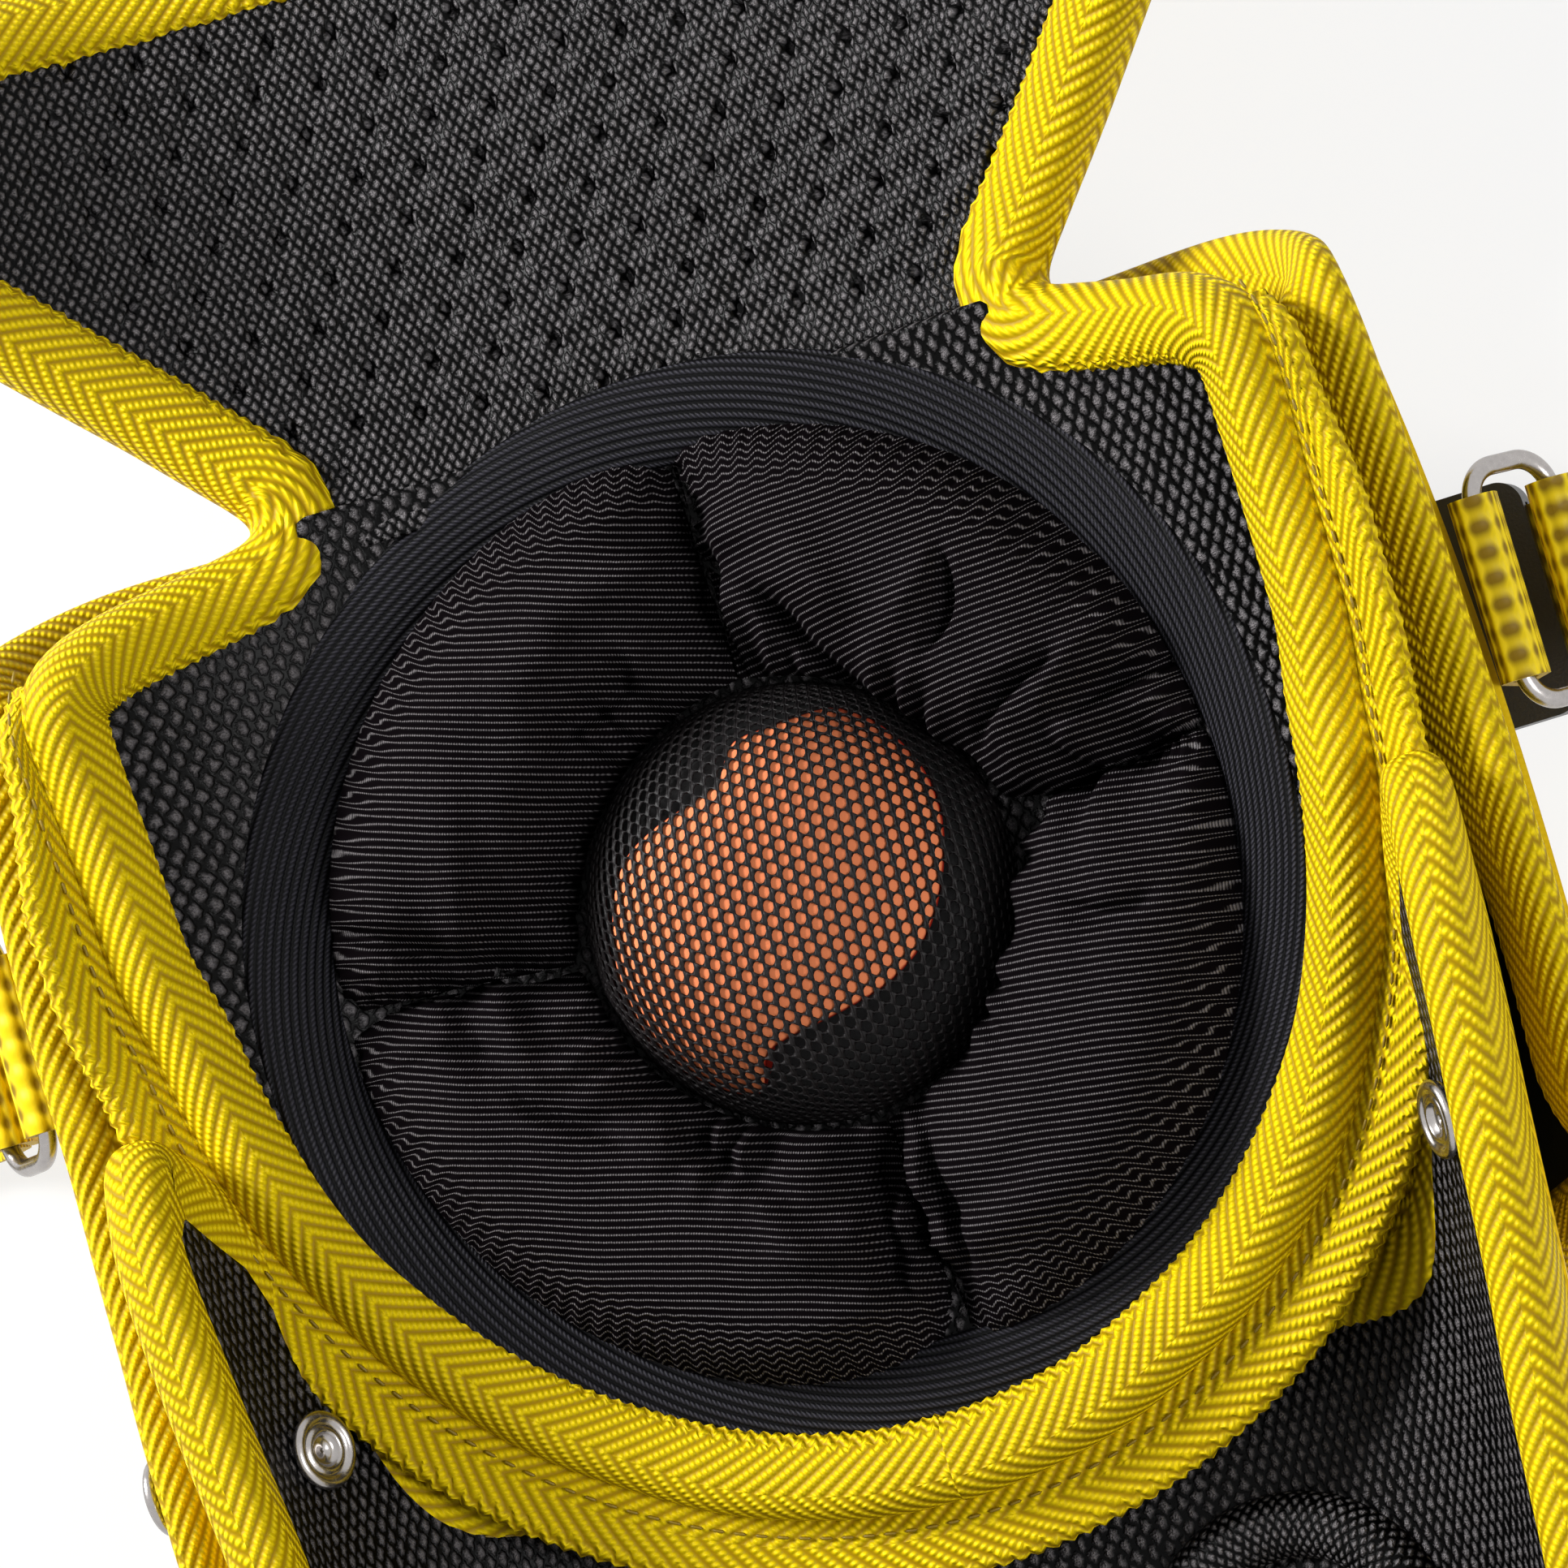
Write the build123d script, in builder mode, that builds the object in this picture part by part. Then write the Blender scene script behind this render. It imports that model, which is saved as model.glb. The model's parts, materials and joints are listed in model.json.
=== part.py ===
"""Padded knee and shin guard, lying on its hard outer face with the side that meets the leg upwards.

+X runs across the leg, +Y from the ankle towards the thigh and +Z from the floor towards the leg.
The origin is on the floor under the middle of the knee cushion. Sizes are millimetres.
Every shell and pad is a layer of a trough: a rounded U section that is lofted through stations.
"""

import os
from math import cos, radians, sin

from build123d import *

os.makedirs("parts", exist_ok=True)

# ---- driving dimensions -------------------------------------------------------------------------
knee_half_width = 104.5      # outer cover of the knee cup, at its widest
knee_length_up = 70.0        # knee cup from its centre towards the thigh
knee_length_down = 80.0      # knee cup from its centre towards the ankle
knee_rim_height = 59.0       # rim of the knee cup above the floor
knee_plan_corner = 34.0      # corners of the knee cup, seen from above
knee_plan_margin = 4.0       # its outline is cut this much wider than the cup
liner_half_width = 86.0      # bound edge of the padded knee liner
liner_length_down = 84.0
liner_length_up = 69.0
liner_shoulder = 66.0
neck_half_width = 54.0       # fabric neck between the knee and the thigh flap
flap_half_width = 100.0
flap_length = 83.0           # thigh flap, from the neck to its top edge
neck_straight = 8.0          # the neck stays narrow this far into the flap, then flares at 45 degrees
shin_half_width_top = 98.5
shin_half_width_ankle = 70.0
shin_top = -62.0             # upper edge of the shin trough at its middle
shin_end = -330.0            # ankle end
wing_top = -10.0             # upper end of the two shin wings, beside the knee
wing_rim_height = 76.0
wing_corner = 16.0           # slanted corner at the upper end of each wing
shin_front_height = 34.0     # the shin's upper edge passes under the knee cup below this
ankle_rim_height = 52.0
wing_rim_drop_y = -120.0

cover_wall = 1.0             # coated fabric on the outside
shell_wall = 2.4             # moulded plastic plates
foam_wall = 2.0              # closed-cell foam under the linings
mesh_wall = 1.8              # spacer mesh linings
liner_foam_wall = 5.4
liner_mesh_wall = 3.2
seam_gap = 0.3               # between layers that are sewn or lie together
binding_width = 11.0         # visible half of the folded tape
binding_proud = 0.8          # tape stands this far off the layers that it wraps
rim_binding_inside = 0.6     # the cup's tape stands this far off its plastic
cushion_radius = 65.0        # gathered ring cushion
cushion_top = 56.0
cushion_split = 1.2          # gap between the cushion's quarters
ring_tape_width = 10.5
ring_tape_wall = 1.2
dome_radius = 30.5
cushion_hole_radius = dome_radius + 1.0
dome_top = 52.0
dome_wall = 1.2
insert_wall = 7.0            # moulded impact insert under the dome
webbing_width = 25.0
webbing_wall = 1.6
calf_strap_width = 38.0
wire_radius = 1.3
ring_opening = 11.0
running_clearance = 0.35
pivot_y = -53.0              # the knee cup turns on the shin about this line
pivot_z = 52.0
rivet_radius = 2.5
rivet_fit = 0.05
rivet_head_radius = 5.2
rivet_head_wall = 1.4
knee_ring_y = 12.0
knee_ring_z = 50.0
knee_ring_tilt = 48.0
calf_ring_y = -230.0
calf_ring_z = 44.0
calf_ring_tilt = -72.0
calf_strap_arch = 76.0       # height of the calf strap at its middle
strap_lie = 3.2              # middle of a strap that lies on the floor
strap_reach_left = 78.0      # loose length of the left knee strap on the floor
buckle_length = 27.0
buckle_width = 33.0
buckle_wall = 6.4
keeper_wall = 1.5
strap_in_buckle = 5.0
tab_length = 22.0
ring_corner = 4.8
ring_end_room = 3.6          # from the webbing's edge to the middle of the ring's end

shield_centre_y = 10.0       # widest line of the liner's rounded lower half
shoulder_corner = 12.0
core_half_width = 48.0       # foam between the cup and the liner
core_half_length = 42.0
cushion_corner = 14.0
insert_drop = 3.0
flap_corner = 14.0
shin_corner = 9.0
pad_centre_x = 36.0          # two raised pads beside the shin bone
pad_centre_y = -200.0
pad_length = 210.0
pad_width = 46.0
pad_rim = 9.0
pad_height = 5.0

cutter_drop = 20.0           # cutting blocks start this far below the floor
TOP = 270.0                  # all trough sections close up here, far above every rim

# A station is (y, half width, floor height, corner radius) of a trough's outer face.
knee_stations = (
    (knee_length_up + 12.0, knee_half_width - 3.0, 20.0, 60.0),
    (0.0, knee_half_width, 0.6, 60.0),
    (-knee_length_down - 8.0, knee_half_width - 1.0, 10.5, 60.0),
)
liner_stations = (
    (liner_length_up + 12.0, 112.0, 30.0, 98.0),
    (0.0, 112.0, 20.5, 98.0),
    (-liner_length_down - 8.0, 112.0, 36.0, 98.0),
)
shin_stations = (
    (wing_top + 6.0, shin_half_width_top, 21.0, 57.0),
    (shin_end - 4.0, shin_half_width_ankle, 0.0, 45.0),
)
flap_stations = (
    (liner_length_up + 0.6, 128.0, 26.0, 112.0),
    (liner_length_up + flap_length + 6.0, 122.0, 15.0, 106.0),
)

knee_wall = cover_wall + seam_gap + shell_wall
shin_wall = cover_wall + shell_wall + foam_wall + mesh_wall + 3 * seam_gap
liner_wall = liner_foam_wall + seam_gap + liner_mesh_wall


def across(y):
    """Plane across the leg at y, with its own x along +X and its own y along +Z."""
    return Plane(origin=(0, y, 0), x_dir=(1, 0, 0), z_dir=(0, -1, 0))


def trough(stations, depth):
    """Closed solid inside the trough's face that lies this deep under its outer face."""
    with BuildPart() as solid:
        for y, half_width, floor, corner in stations:
            height = TOP - floor - depth
            with BuildSketch(across(y)):
                with Locations((0, floor + depth + height / 2)):
                    RectangleRounded(2 * (half_width - depth), height, corner - depth)
        loft(ruled=len(stations) == 2)
    return solid.part


def layer(stations, outer, inner):
    """Wall of a trough between two depths under its outer face."""
    with BuildPart() as wall:
        add(trough(stations, outer))
        add(trough(stations, inner), mode=Mode.SUBTRACT)
    return wall.part


def knee_cutter(inset):
    """Block that keeps the knee cup up to its rim, or this far inside the rim."""
    with BuildPart() as block:
        with BuildSketch(Plane.XY.offset(-cutter_drop)):
            with Locations((0, (knee_length_up - knee_length_down) / 2)):
                RectangleRounded(
                    2 * (knee_half_width + knee_plan_margin),
                    knee_length_up + knee_length_down - 2 * inset,
                    knee_plan_corner,
                )
        extrude(amount=cutter_drop + knee_rim_height - inset)
    return block.part


def liner_cutter(inset):
    """Block with the knee liner's shield outline, this far inside its bound edge."""
    side = liner_half_width - inset
    shoulder = liner_shoulder - inset
    with BuildPart() as block:
        with BuildSketch(Plane.XY.offset(-cutter_drop)):
            with Locations((0, shield_centre_y)):
                Ellipse(side, liner_length_down + shield_centre_y - inset)
            with Locations((0, shoulder / 2)):
                RectangleRounded(2 * side, shoulder, shoulder_corner)
            with Locations((0, liner_length_up / 2)):
                Rectangle(2 * (neck_half_width - inset), liner_length_up)
        extrude(amount=TOP / 2)
    return block.part


def flap_cutter(inset):
    """Block with the thigh flap's flared outline, this far inside its bound edge."""
    neck = neck_half_width
    low = liner_length_up
    high = low + flap_length
    flare = flap_half_width - neck
    with BuildPart() as block:
        with BuildSketch(Plane.XY.offset(-cutter_drop)) as outline:
            with BuildLine():
                Polyline(
                    (-neck, low - cutter_drop),
                    (-neck, low + neck_straight),
                    (-flap_half_width, low + neck_straight + flare),
                    (-flap_half_width, high),
                    (flap_half_width, high),
                    (flap_half_width, low + neck_straight + flare),
                    (neck, low + neck_straight),
                    (neck, low - cutter_drop),
                    close=True,
                )
            make_face()
            fillet(outline.vertices().filter_by(lambda v: v.Y > low), flap_corner)
            if inset:
                offset(amount=-inset, mode=Mode.REPLACE)
        extrude(amount=TOP / 2)
    return block.part


def shin_cutter(inset):
    """Block with the shin guard's side outline, this far inside its bound edge."""
    with BuildPart() as block:
        with BuildSketch(Plane.YZ) as outline:
            with BuildLine():
                Polyline(
                    (shin_end, -cutter_drop),
                    (shin_end, ankle_rim_height),
                    (wing_rim_drop_y, wing_rim_height),
                    (wing_top - wing_corner, wing_rim_height),
                    (wing_top, wing_rim_height - 0.75 * wing_corner),
                    (wing_top - 4, wing_rim_height - 1.375 * wing_corner),
                    (shin_top, shin_front_height),
                    (shin_top, -cutter_drop),
                    close=True,
                )
            make_face()
            fillet(outline.vertices().filter_by(lambda v: v.Z > 0), shin_corner)
            if inset:
                offset(amount=-inset, mode=Mode.REPLACE)
        extrude(amount=2 * shin_half_width_top, both=True)
    return block.part


def wall_x(stations, y, depth, z):
    """Half width of a trough's face at this depth, where it crosses this y and z."""
    (y_a, w_a, f_a, c_a), (y_b, w_b, f_b, c_b) = stations[0], stations[-1]
    if len(stations) == 3:
        middle = stations[1]
        near = stations[0] if y > middle[0] else stations[2]
        (y_a, w_a, f_a, c_a), (y_b, w_b, f_b, c_b) = near, middle
    share = (y - y_a) / (y_b - y_a)
    corner = c_a + share * (c_b - c_a) - depth
    side = w_a + share * (w_b - w_a) - depth
    rise = f_a + share * (f_b - f_a) + depth + corner - z
    if rise <= 0:
        return side
    return side - corner + (corner**2 - rise**2) ** 0.5


def export(piece, name):
    """Label a finished piece and write it as its own node."""
    piece.part.label = name
    export_step(piece.part, f"parts/{name}.step")


# ---- knee cup -----------------------------------------------------------------------------------
rivet_seat_x = wall_x(knee_stations, pivot_y, 0, pivot_z + rivet_head_radius) + 1.15
rivet_inner_x = wall_x(shin_stations, pivot_y, shin_wall, pivot_z - rivet_head_radius) - 0.6


def rivet_hole(radius):
    """Bore across both sides for the two pivot rivets."""
    with BuildPart() as bore:
        with BuildSketch(Plane.YZ):
            with Locations((pivot_y, pivot_z)):
                Circle(radius)
        extrude(amount=2 * knee_half_width, both=True)
    return bore.part


with BuildPart() as knee_cover:
    add(layer(knee_stations, 0, cover_wall))
    add(knee_cutter(binding_width), mode=Mode.INTERSECT)
    add(rivet_hole(rivet_radius + rivet_fit), mode=Mode.SUBTRACT)
export(knee_cover, "knee_cover")

with BuildPart() as knee_shell:
    add(layer(knee_stations, cover_wall + seam_gap, knee_wall))
    add(knee_cutter(binding_width), mode=Mode.INTERSECT)
    add(rivet_hole(rivet_radius + rivet_fit), mode=Mode.SUBTRACT)
export(knee_shell, "knee_shell")

with BuildPart() as knee_rim_binding:
    add(layer(knee_stations, 0, knee_wall + rim_binding_inside))
    add(knee_cutter(0), mode=Mode.INTERSECT)
    add(knee_cutter(binding_width - seam_gap), mode=Mode.SUBTRACT)
    add(rivet_hole(rivet_radius + rivet_fit), mode=Mode.SUBTRACT)
export(knee_rim_binding, "knee_rim_binding")

with BuildPart() as knee_core_foam:
    with BuildSketch(Plane.XY):
        Ellipse(core_half_width, core_half_length)
    extrude(amount=knee_rim_height)
    add(trough(knee_stations, knee_wall + seam_gap), mode=Mode.INTERSECT)
    add(trough(liner_stations, -seam_gap), mode=Mode.SUBTRACT)
export(knee_core_foam, "knee_core_foam")

# ---- knee liner, with the gathered ring cushion -------------------------------------------------
with BuildPart() as knee_liner_foam:
    add(layer(liner_stations, 0, liner_foam_wall))
    add(liner_cutter(binding_width), mode=Mode.INTERSECT)
    split(bisect_by=across(liner_length_up), keep=Keep.TOP)
export(knee_liner_foam, "knee_liner_foam")

with BuildPart() as knee_liner_mesh:
    add(layer(liner_stations, liner_foam_wall + seam_gap, liner_wall))
    add(liner_cutter(binding_width), mode=Mode.INTERSECT)
    split(bisect_by=across(liner_length_up), keep=Keep.TOP)
export(knee_liner_mesh, "knee_liner_mesh")

with BuildPart() as knee_liner_binding:
    add(layer(liner_stations, 0, liner_wall + binding_proud))
    add(liner_cutter(0), mode=Mode.INTERSECT)
    add(liner_cutter(binding_width - seam_gap), mode=Mode.SUBTRACT)
    split(bisect_by=across(liner_length_up), keep=Keep.TOP)
export(knee_liner_binding, "knee_liner_binding")

seat = liner_wall + seam_gap
with BuildPart() as cushion_ring_tape:
    with BuildSketch(Plane.XY):
        Circle(cushion_radius + ring_tape_width)
        Circle(cushion_radius + seam_gap, mode=Mode.SUBTRACT)
    extrude(amount=TOP / 2)
    add(layer(liner_stations, seat, seat + ring_tape_wall), mode=Mode.INTERSECT)
    add(liner_cutter(binding_width + seam_gap), mode=Mode.INTERSECT)
export(cushion_ring_tape, "cushion_ring_tape")

cushion_mid_radius = (cushion_radius + cushion_hole_radius) / 2
with BuildPart() as ring_cushion:
    with BuildSketch(Plane.XZ):
        with Locations((cushion_mid_radius, cushion_top / 2)):
            RectangleRounded(
                cushion_radius - cushion_hole_radius, cushion_top, cushion_corner
            )
    revolve(axis=Axis.Z)
    with BuildSketch(Plane.XY.offset(cushion_corner)):
        Circle(cushion_radius)
        Circle(cushion_hole_radius, mode=Mode.SUBTRACT)
    extrude(amount=-cushion_corner)
    add(trough(liner_stations, seat), mode=Mode.INTERSECT)

quarters = (
    ("upper_right", 1, 1),
    ("upper_left", -1, 1),
    ("lower_left", -1, -1),
    ("lower_right", 1, -1),
)
for quarter, side_x, side_y in quarters:
    with BuildPart() as lobe:
        add(ring_cushion.part)
        with BuildSketch(Plane.XY):
            with Locations((side_x * cushion_radius / 2, side_y * cushion_radius / 2)):
                Rectangle(cushion_radius + 4, cushion_radius + 4)
            with Locations((0, 0)):
                Rectangle(cushion_split, 3 * cushion_radius, mode=Mode.SUBTRACT)
                Rectangle(3 * cushion_radius, cushion_split, mode=Mode.SUBTRACT)
            with Locations((-side_x * cushion_radius, 0)):
                Rectangle(2 * cushion_radius, 3 * cushion_radius, mode=Mode.SUBTRACT)
            with Locations((0, -side_y * cushion_radius)):
                Rectangle(3 * cushion_radius, 2 * cushion_radius, mode=Mode.SUBTRACT)
        extrude(amount=TOP / 2, mode=Mode.INTERSECT)
    export(lobe, f"cushion_{quarter}")

floor_at_middle = liner_stations[1][2] + seat
dome_height = dome_top - floor_at_middle - dome_wall
dome_sphere = (dome_radius**2 + dome_height**2) / (2 * dome_height)


def dome_cap(inset):
    """Round cap under the dome's outer face, this far inside it, standing on the liner."""
    with BuildPart() as cap:
        with Locations((0, 0, dome_top - dome_sphere)):
            Sphere(dome_sphere - inset)
        with BuildSketch(Plane.XY):
            Circle(dome_radius - inset)
        extrude(amount=TOP / 2, mode=Mode.INTERSECT)
        add(trough(liner_stations, seat), mode=Mode.INTERSECT)
    return cap.part


with BuildPart() as dome_mesh:
    add(dome_cap(0))
    add(dome_cap(dome_wall), mode=Mode.SUBTRACT)
export(dome_mesh, "dome_mesh")

# Half of the insert's outline; the other half is the same, turned by half a turn.
half_outline = (
    (13, 24),
    (20, 22.5),
    (25, 14),
    (25.5, 4),
    (20.5, -7),
    (13.5, -14),
    (2, -16),
    (-7.5, -17.5),
)
insert_points = [*half_outline, *((-x, -y) for x, y in half_outline)]
with BuildPart() as impact_insert:
    with BuildSketch(Plane.XY.offset(dome_top - dome_wall - seam_gap - insert_drop - insert_wall)):
        with BuildLine():
            Spline(*insert_points, periodic=True)
        make_face()
    extrude(amount=insert_drop + insert_wall)
    add(dome_cap(dome_wall + seam_gap), mode=Mode.INTERSECT)
export(impact_insert, "impact_insert")

with BuildPart() as dome_foam:
    add(dome_cap(dome_wall + seam_gap))
    with BuildSketch(Plane.XY.offset(dome_top - dome_wall - 2 * seam_gap - insert_drop - insert_wall)):
        Circle(2 * dome_radius)
    extrude(amount=TOP / 2, mode=Mode.SUBTRACT)
export(dome_foam, "dome_foam")

# ---- shin guard ---------------------------------------------------------------------------------
shin_stack = (
    ("shin_cover", cover_wall),
    ("shin_shell", shell_wall),
    ("shin_foam", foam_wall),
    ("shin_lining", mesh_wall),
)
depth = 0.0
for name, wall in shin_stack:
    with BuildPart() as shin_piece:
        add(layer(shin_stations, depth, depth + wall))
        add(shin_cutter(binding_width), mode=Mode.INTERSECT)
        add(rivet_hole(rivet_radius + rivet_fit), mode=Mode.SUBTRACT)
    export(shin_piece, name)
    depth += wall + seam_gap

with BuildPart() as shin_binding:
    add(layer(shin_stations, 0, shin_wall))
    add(shin_cutter(0), mode=Mode.INTERSECT)
    add(shin_cutter(binding_width - seam_gap), mode=Mode.SUBTRACT)
    add(rivet_hole(rivet_radius + rivet_fit), mode=Mode.SUBTRACT)
export(shin_binding, "shin_binding")

for side, name in ((-1, "left"), (1, "right")):
    with BuildPart() as shin_pad:
        with BuildSketch(Plane.XY):
            with Locations((side * pad_centre_x, pad_centre_y)):
                SlotOverall(pad_length, pad_width, rotation=90)
                SlotOverall(
                    pad_length - 2 * pad_rim,
                    pad_width - 2 * pad_rim,
                    rotation=90,
                    mode=Mode.SUBTRACT,
                )
        extrude(amount=TOP / 2)
        add(layer(shin_stations, shin_wall + seam_gap, shin_wall + pad_height), mode=Mode.INTERSECT)
    export(shin_pad, f"shin_pad_{name}")
    with BuildPart() as pad_mesh:
        with BuildSketch(Plane.XY):
            with Locations((side * pad_centre_x, pad_centre_y)):
                SlotOverall(pad_length - 2 * pad_rim - 0.6, pad_width - 2 * pad_rim - 0.6, rotation=90)
        extrude(amount=TOP / 2)
        add(layer(shin_stations, shin_wall + seam_gap, shin_wall + pad_height / 2), mode=Mode.INTERSECT)
    export(pad_mesh, f"shin_pad_mesh_{name}")

    with BuildPart() as pivot_rivet:
        with BuildSketch(Plane(origin=(side * rivet_seat_x, pivot_y, pivot_z), z_dir=(side, 0, 0))):
            Circle(rivet_head_radius)
        extrude(amount=rivet_head_wall)
        with BuildSketch(Plane(origin=(side * rivet_inner_x, pivot_y, pivot_z), z_dir=(-side, 0, 0))):
            Circle(rivet_head_radius)
        extrude(amount=rivet_head_wall)
        with BuildSketch(Plane(origin=(side * rivet_inner_x, pivot_y, pivot_z), z_dir=(side, 0, 0))):
            Circle(rivet_radius)
        extrude(amount=rivet_seat_x - rivet_inner_x)
    export(pivot_rivet, f"pivot_rivet_{name}")

# ---- thigh flap ---------------------------------------------------------------------------------
flap_stack = (
    ("flap_cover", cover_wall),
    ("flap_shell", shell_wall),
    ("flap_foam", foam_wall),
    ("flap_lining", mesh_wall),
)
flap_wall = sum(wall for name, wall in flap_stack) + seam_gap * (len(flap_stack) - 1)
depth = 0.0
for name, wall in flap_stack:
    with BuildPart() as flap_piece:
        add(layer(flap_stations, depth, depth + wall))
        add(flap_cutter(binding_width), mode=Mode.INTERSECT)
    export(flap_piece, name)
    depth += wall + seam_gap

with BuildPart() as flap_binding:
    add(layer(flap_stations, -binding_proud, flap_wall + binding_proud))
    add(flap_cutter(0), mode=Mode.INTERSECT)
    add(flap_cutter(binding_width - seam_gap), mode=Mode.SUBTRACT)
export(flap_binding, "flap_binding")

# ---- rings, webbing and buckles -----------------------------------------------------------------
bar_turn = wire_radius + running_clearance + webbing_wall / 2
ring_width = ring_opening + 2 * wire_radius


def webbing(points, radii, width, y):
    """Strip of webbing whose middle follows these (x, z) points, centred on y."""
    with BuildPart() as strip:
        with BuildSketch(across(y)):
            with BuildLine() as middle:
                FilletPolyline(*points, radius=radii)
            trace(middle.line, webbing_wall)
        extrude(amount=width / 2, both=True)
    return strip


def fall(side, tilt):
    """Direction in which a ring falls away from its inner bar, as x and z."""
    return side * cos(radians(tilt)), -sin(radians(tilt))


def oval_ring(side, bar, tilt, y, length):
    """Wire ring whose inner bar lies at this (x, z) and which falls away by its tilt."""
    out_x, out_z = fall(side, tilt)
    flat = Plane(origin=(bar[0], y, bar[1]), x_dir=(0, 1, 0), z_dir=(out_z, 0, -out_x))
    half = length / 2 + ring_end_room
    with BuildPart() as ring:
        with BuildLine(flat) as loop:
            FilletPolyline(
                (-half, 0),
                (half, 0),
                (half, ring_width),
                (-half, ring_width),
                radius=ring_corner,
                close=True,
            )
        with BuildSketch(Plane(origin=loop.line @ 0, z_dir=loop.line % 0)):
            Circle(wire_radius)
        sweep(path=loop.line)
    return ring


def sewn_tab(side, bar, y, width):
    """Webbing sewn to a side wall, folded over the inner bar of a ring."""
    x, z = bar
    points = [
        (x - side * bar_turn, z - tab_length),
        (x - side * bar_turn, z + bar_turn),
        (x + side * bar_turn, z + bar_turn),
        (x + side * bar_turn, z - bar_turn),
        (x - side * (bar_turn - webbing_wall - 0.2), z - 0.5 * tab_length),
    ]
    return webbing(points, [bar_turn - 0.01, bar_turn - 0.01, bar_turn / 2], width, y)


tab_rise = bar_turn + webbing_wall / 2
knee_seat_x = wall_x(knee_stations, knee_ring_y, 0, knee_ring_z + tab_rise)
calf_seat_x = wall_x(shin_stations, calf_ring_y + calf_strap_width / 2, 0, calf_ring_z)
for side, name in ((-1, "left"), (1, "right")):
    knee_bar = (side * (knee_seat_x + 0.4 + webbing_wall / 2 + bar_turn), knee_ring_z)
    calf_bar = (side * (calf_seat_x + 0.4 + webbing_wall / 2 + bar_turn), calf_ring_z)
    export(oval_ring(side, knee_bar, knee_ring_tilt, knee_ring_y, webbing_width), f"knee_ring_{name}")
    export(oval_ring(side, calf_bar, calf_ring_tilt, calf_ring_y, calf_strap_width), f"calf_ring_{name}")
    export(sewn_tab(side, knee_bar, knee_ring_y, webbing_width), f"knee_ring_tab_{name}")
    export(sewn_tab(side, calf_bar, calf_ring_y, calf_strap_width), f"calf_ring_tab_{name}")

# The calf strap is folded over the outer bars of its two rings and crosses above the trough.
calf_out = fall(1, calf_ring_tilt)
calf_x = calf_seat_x + 0.4 + webbing_wall / 2 + bar_turn + calf_out[0] * ring_width
calf_z = calf_ring_z + calf_out[1] * ring_width
half_strap = [
    (calf_x - 1.0, calf_z + 12.0),
    (calf_x + bar_turn, calf_z + 1.0),
    (calf_x + bar_turn, calf_z - bar_turn),
    (calf_x - bar_turn, calf_z - bar_turn),
    (calf_x - bar_turn - 1.5, calf_z + 13.0),
    (calf_x - 30.0, calf_strap_arch - 3.0),
]
mirrored = [(-x, z) for x, z in reversed(half_strap)]
bends = [2.0, bar_turn - 0.01, bar_turn - 0.01, 2.0, 9.0]
strap_points = [*half_strap, (0, calf_strap_arch), *mirrored]
strap_bends = [*bends[:3], 3.0, 30.0, 60.0, 30.0, 3.0, *bends[2::-1]]
export(webbing(strap_points, strap_bends, calf_strap_width, calf_ring_y), "calf_strap")

# Each knee strap hangs from the outer bar of its ring and ends in one half of a buckle.
knee_out = fall(1, knee_ring_tilt)
strap_x = knee_seat_x + 0.4 + webbing_wall / 2 + bar_turn + knee_out[0] * ring_width
strap_z = knee_ring_z + knee_out[1] * ring_width
fold = [
    (strap_x + 0.4, strap_z - 14.0),
    (strap_x - bar_turn, strap_z - 1.0),
    (strap_x - bar_turn, strap_z + bar_turn),
    (strap_x + bar_turn, strap_z + bar_turn),
]
fold_bends = [1.0, bar_turn - 0.01, bar_turn - 0.01]
tucked = [*fold, (strap_x + bar_turn, strap_lie), (strap_x - 14.0, strap_lie)]
loose = [
    *fold,
    (strap_x + bar_turn, strap_z - 16.0),
    (strap_x + 14.0, strap_lie),
    (strap_x + strap_reach_left, strap_lie),
]
right_strap = webbing(tucked, [*fold_bends, 4.0], webbing_width, knee_ring_y)
export(right_strap, "knee_strap_right")
left_strap = webbing([(-x, z) for x, z in loose], [*fold_bends, 14.0, 10.0], webbing_width, knee_ring_y)
export(left_strap, "knee_strap_left")


def buckle(mouth_x, direction, prongs):
    """Half of a side-release buckle that takes the strap's end in its mouth."""
    with BuildPart() as half:
        middle = mouth_x + direction * buckle_length / 2
        with BuildSketch(Plane.XY.offset(strap_lie - buckle_wall / 2)):
            with Locations((middle, knee_ring_y)):
                RectangleRounded(buckle_length, buckle_width, 3.5)
        extrude(amount=buckle_wall)
        with Locations((mouth_x + direction * strap_in_buckle / 2, knee_ring_y, strap_lie)):
            Box(
                strap_in_buckle + 0.4,
                webbing_width + 0.8,
                webbing_wall + 0.4,
                mode=Mode.SUBTRACT,
            )
        if prongs:
            for share in (-0.34, 0, 0.34):
                prong_x = mouth_x + direction * (buckle_length + 5)
                with Locations((prong_x, knee_ring_y + share * buckle_width, strap_lie)):
                    Box(10.4, 4.2, 3.0)
    return half


export(buckle(strap_x - 14.0 + strap_in_buckle, -1, False), "buckle_right")
left_end = -(strap_x + strap_reach_left)
export(buckle(left_end + strap_in_buckle, -1, True), "buckle_left")

with BuildPart() as strap_keeper:
    with Locations((-(strap_x + strap_reach_left - 30), knee_ring_y, strap_lie)):
        Box(8.0, webbing_width + 4 + 2 * keeper_wall, webbing_wall + 0.6 + 2 * keeper_wall)
        Box(8.0, webbing_width + 0.8, webbing_wall + 0.4, mode=Mode.SUBTRACT)
export(strap_keeper, "strap_keeper")
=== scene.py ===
"""Padded knee and shin guard: fabric, tape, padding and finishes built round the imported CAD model.

Lengths inside the functions are millimetres in the CAD model's own frame: +X across the leg, +Y towards
the thigh, +Z towards the leg. mesh_piece() turns them into metres. Every layer of the guard follows a
trough, a rounded U section that runs along Y, and lay() gives a point on such a layer.
"""

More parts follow.
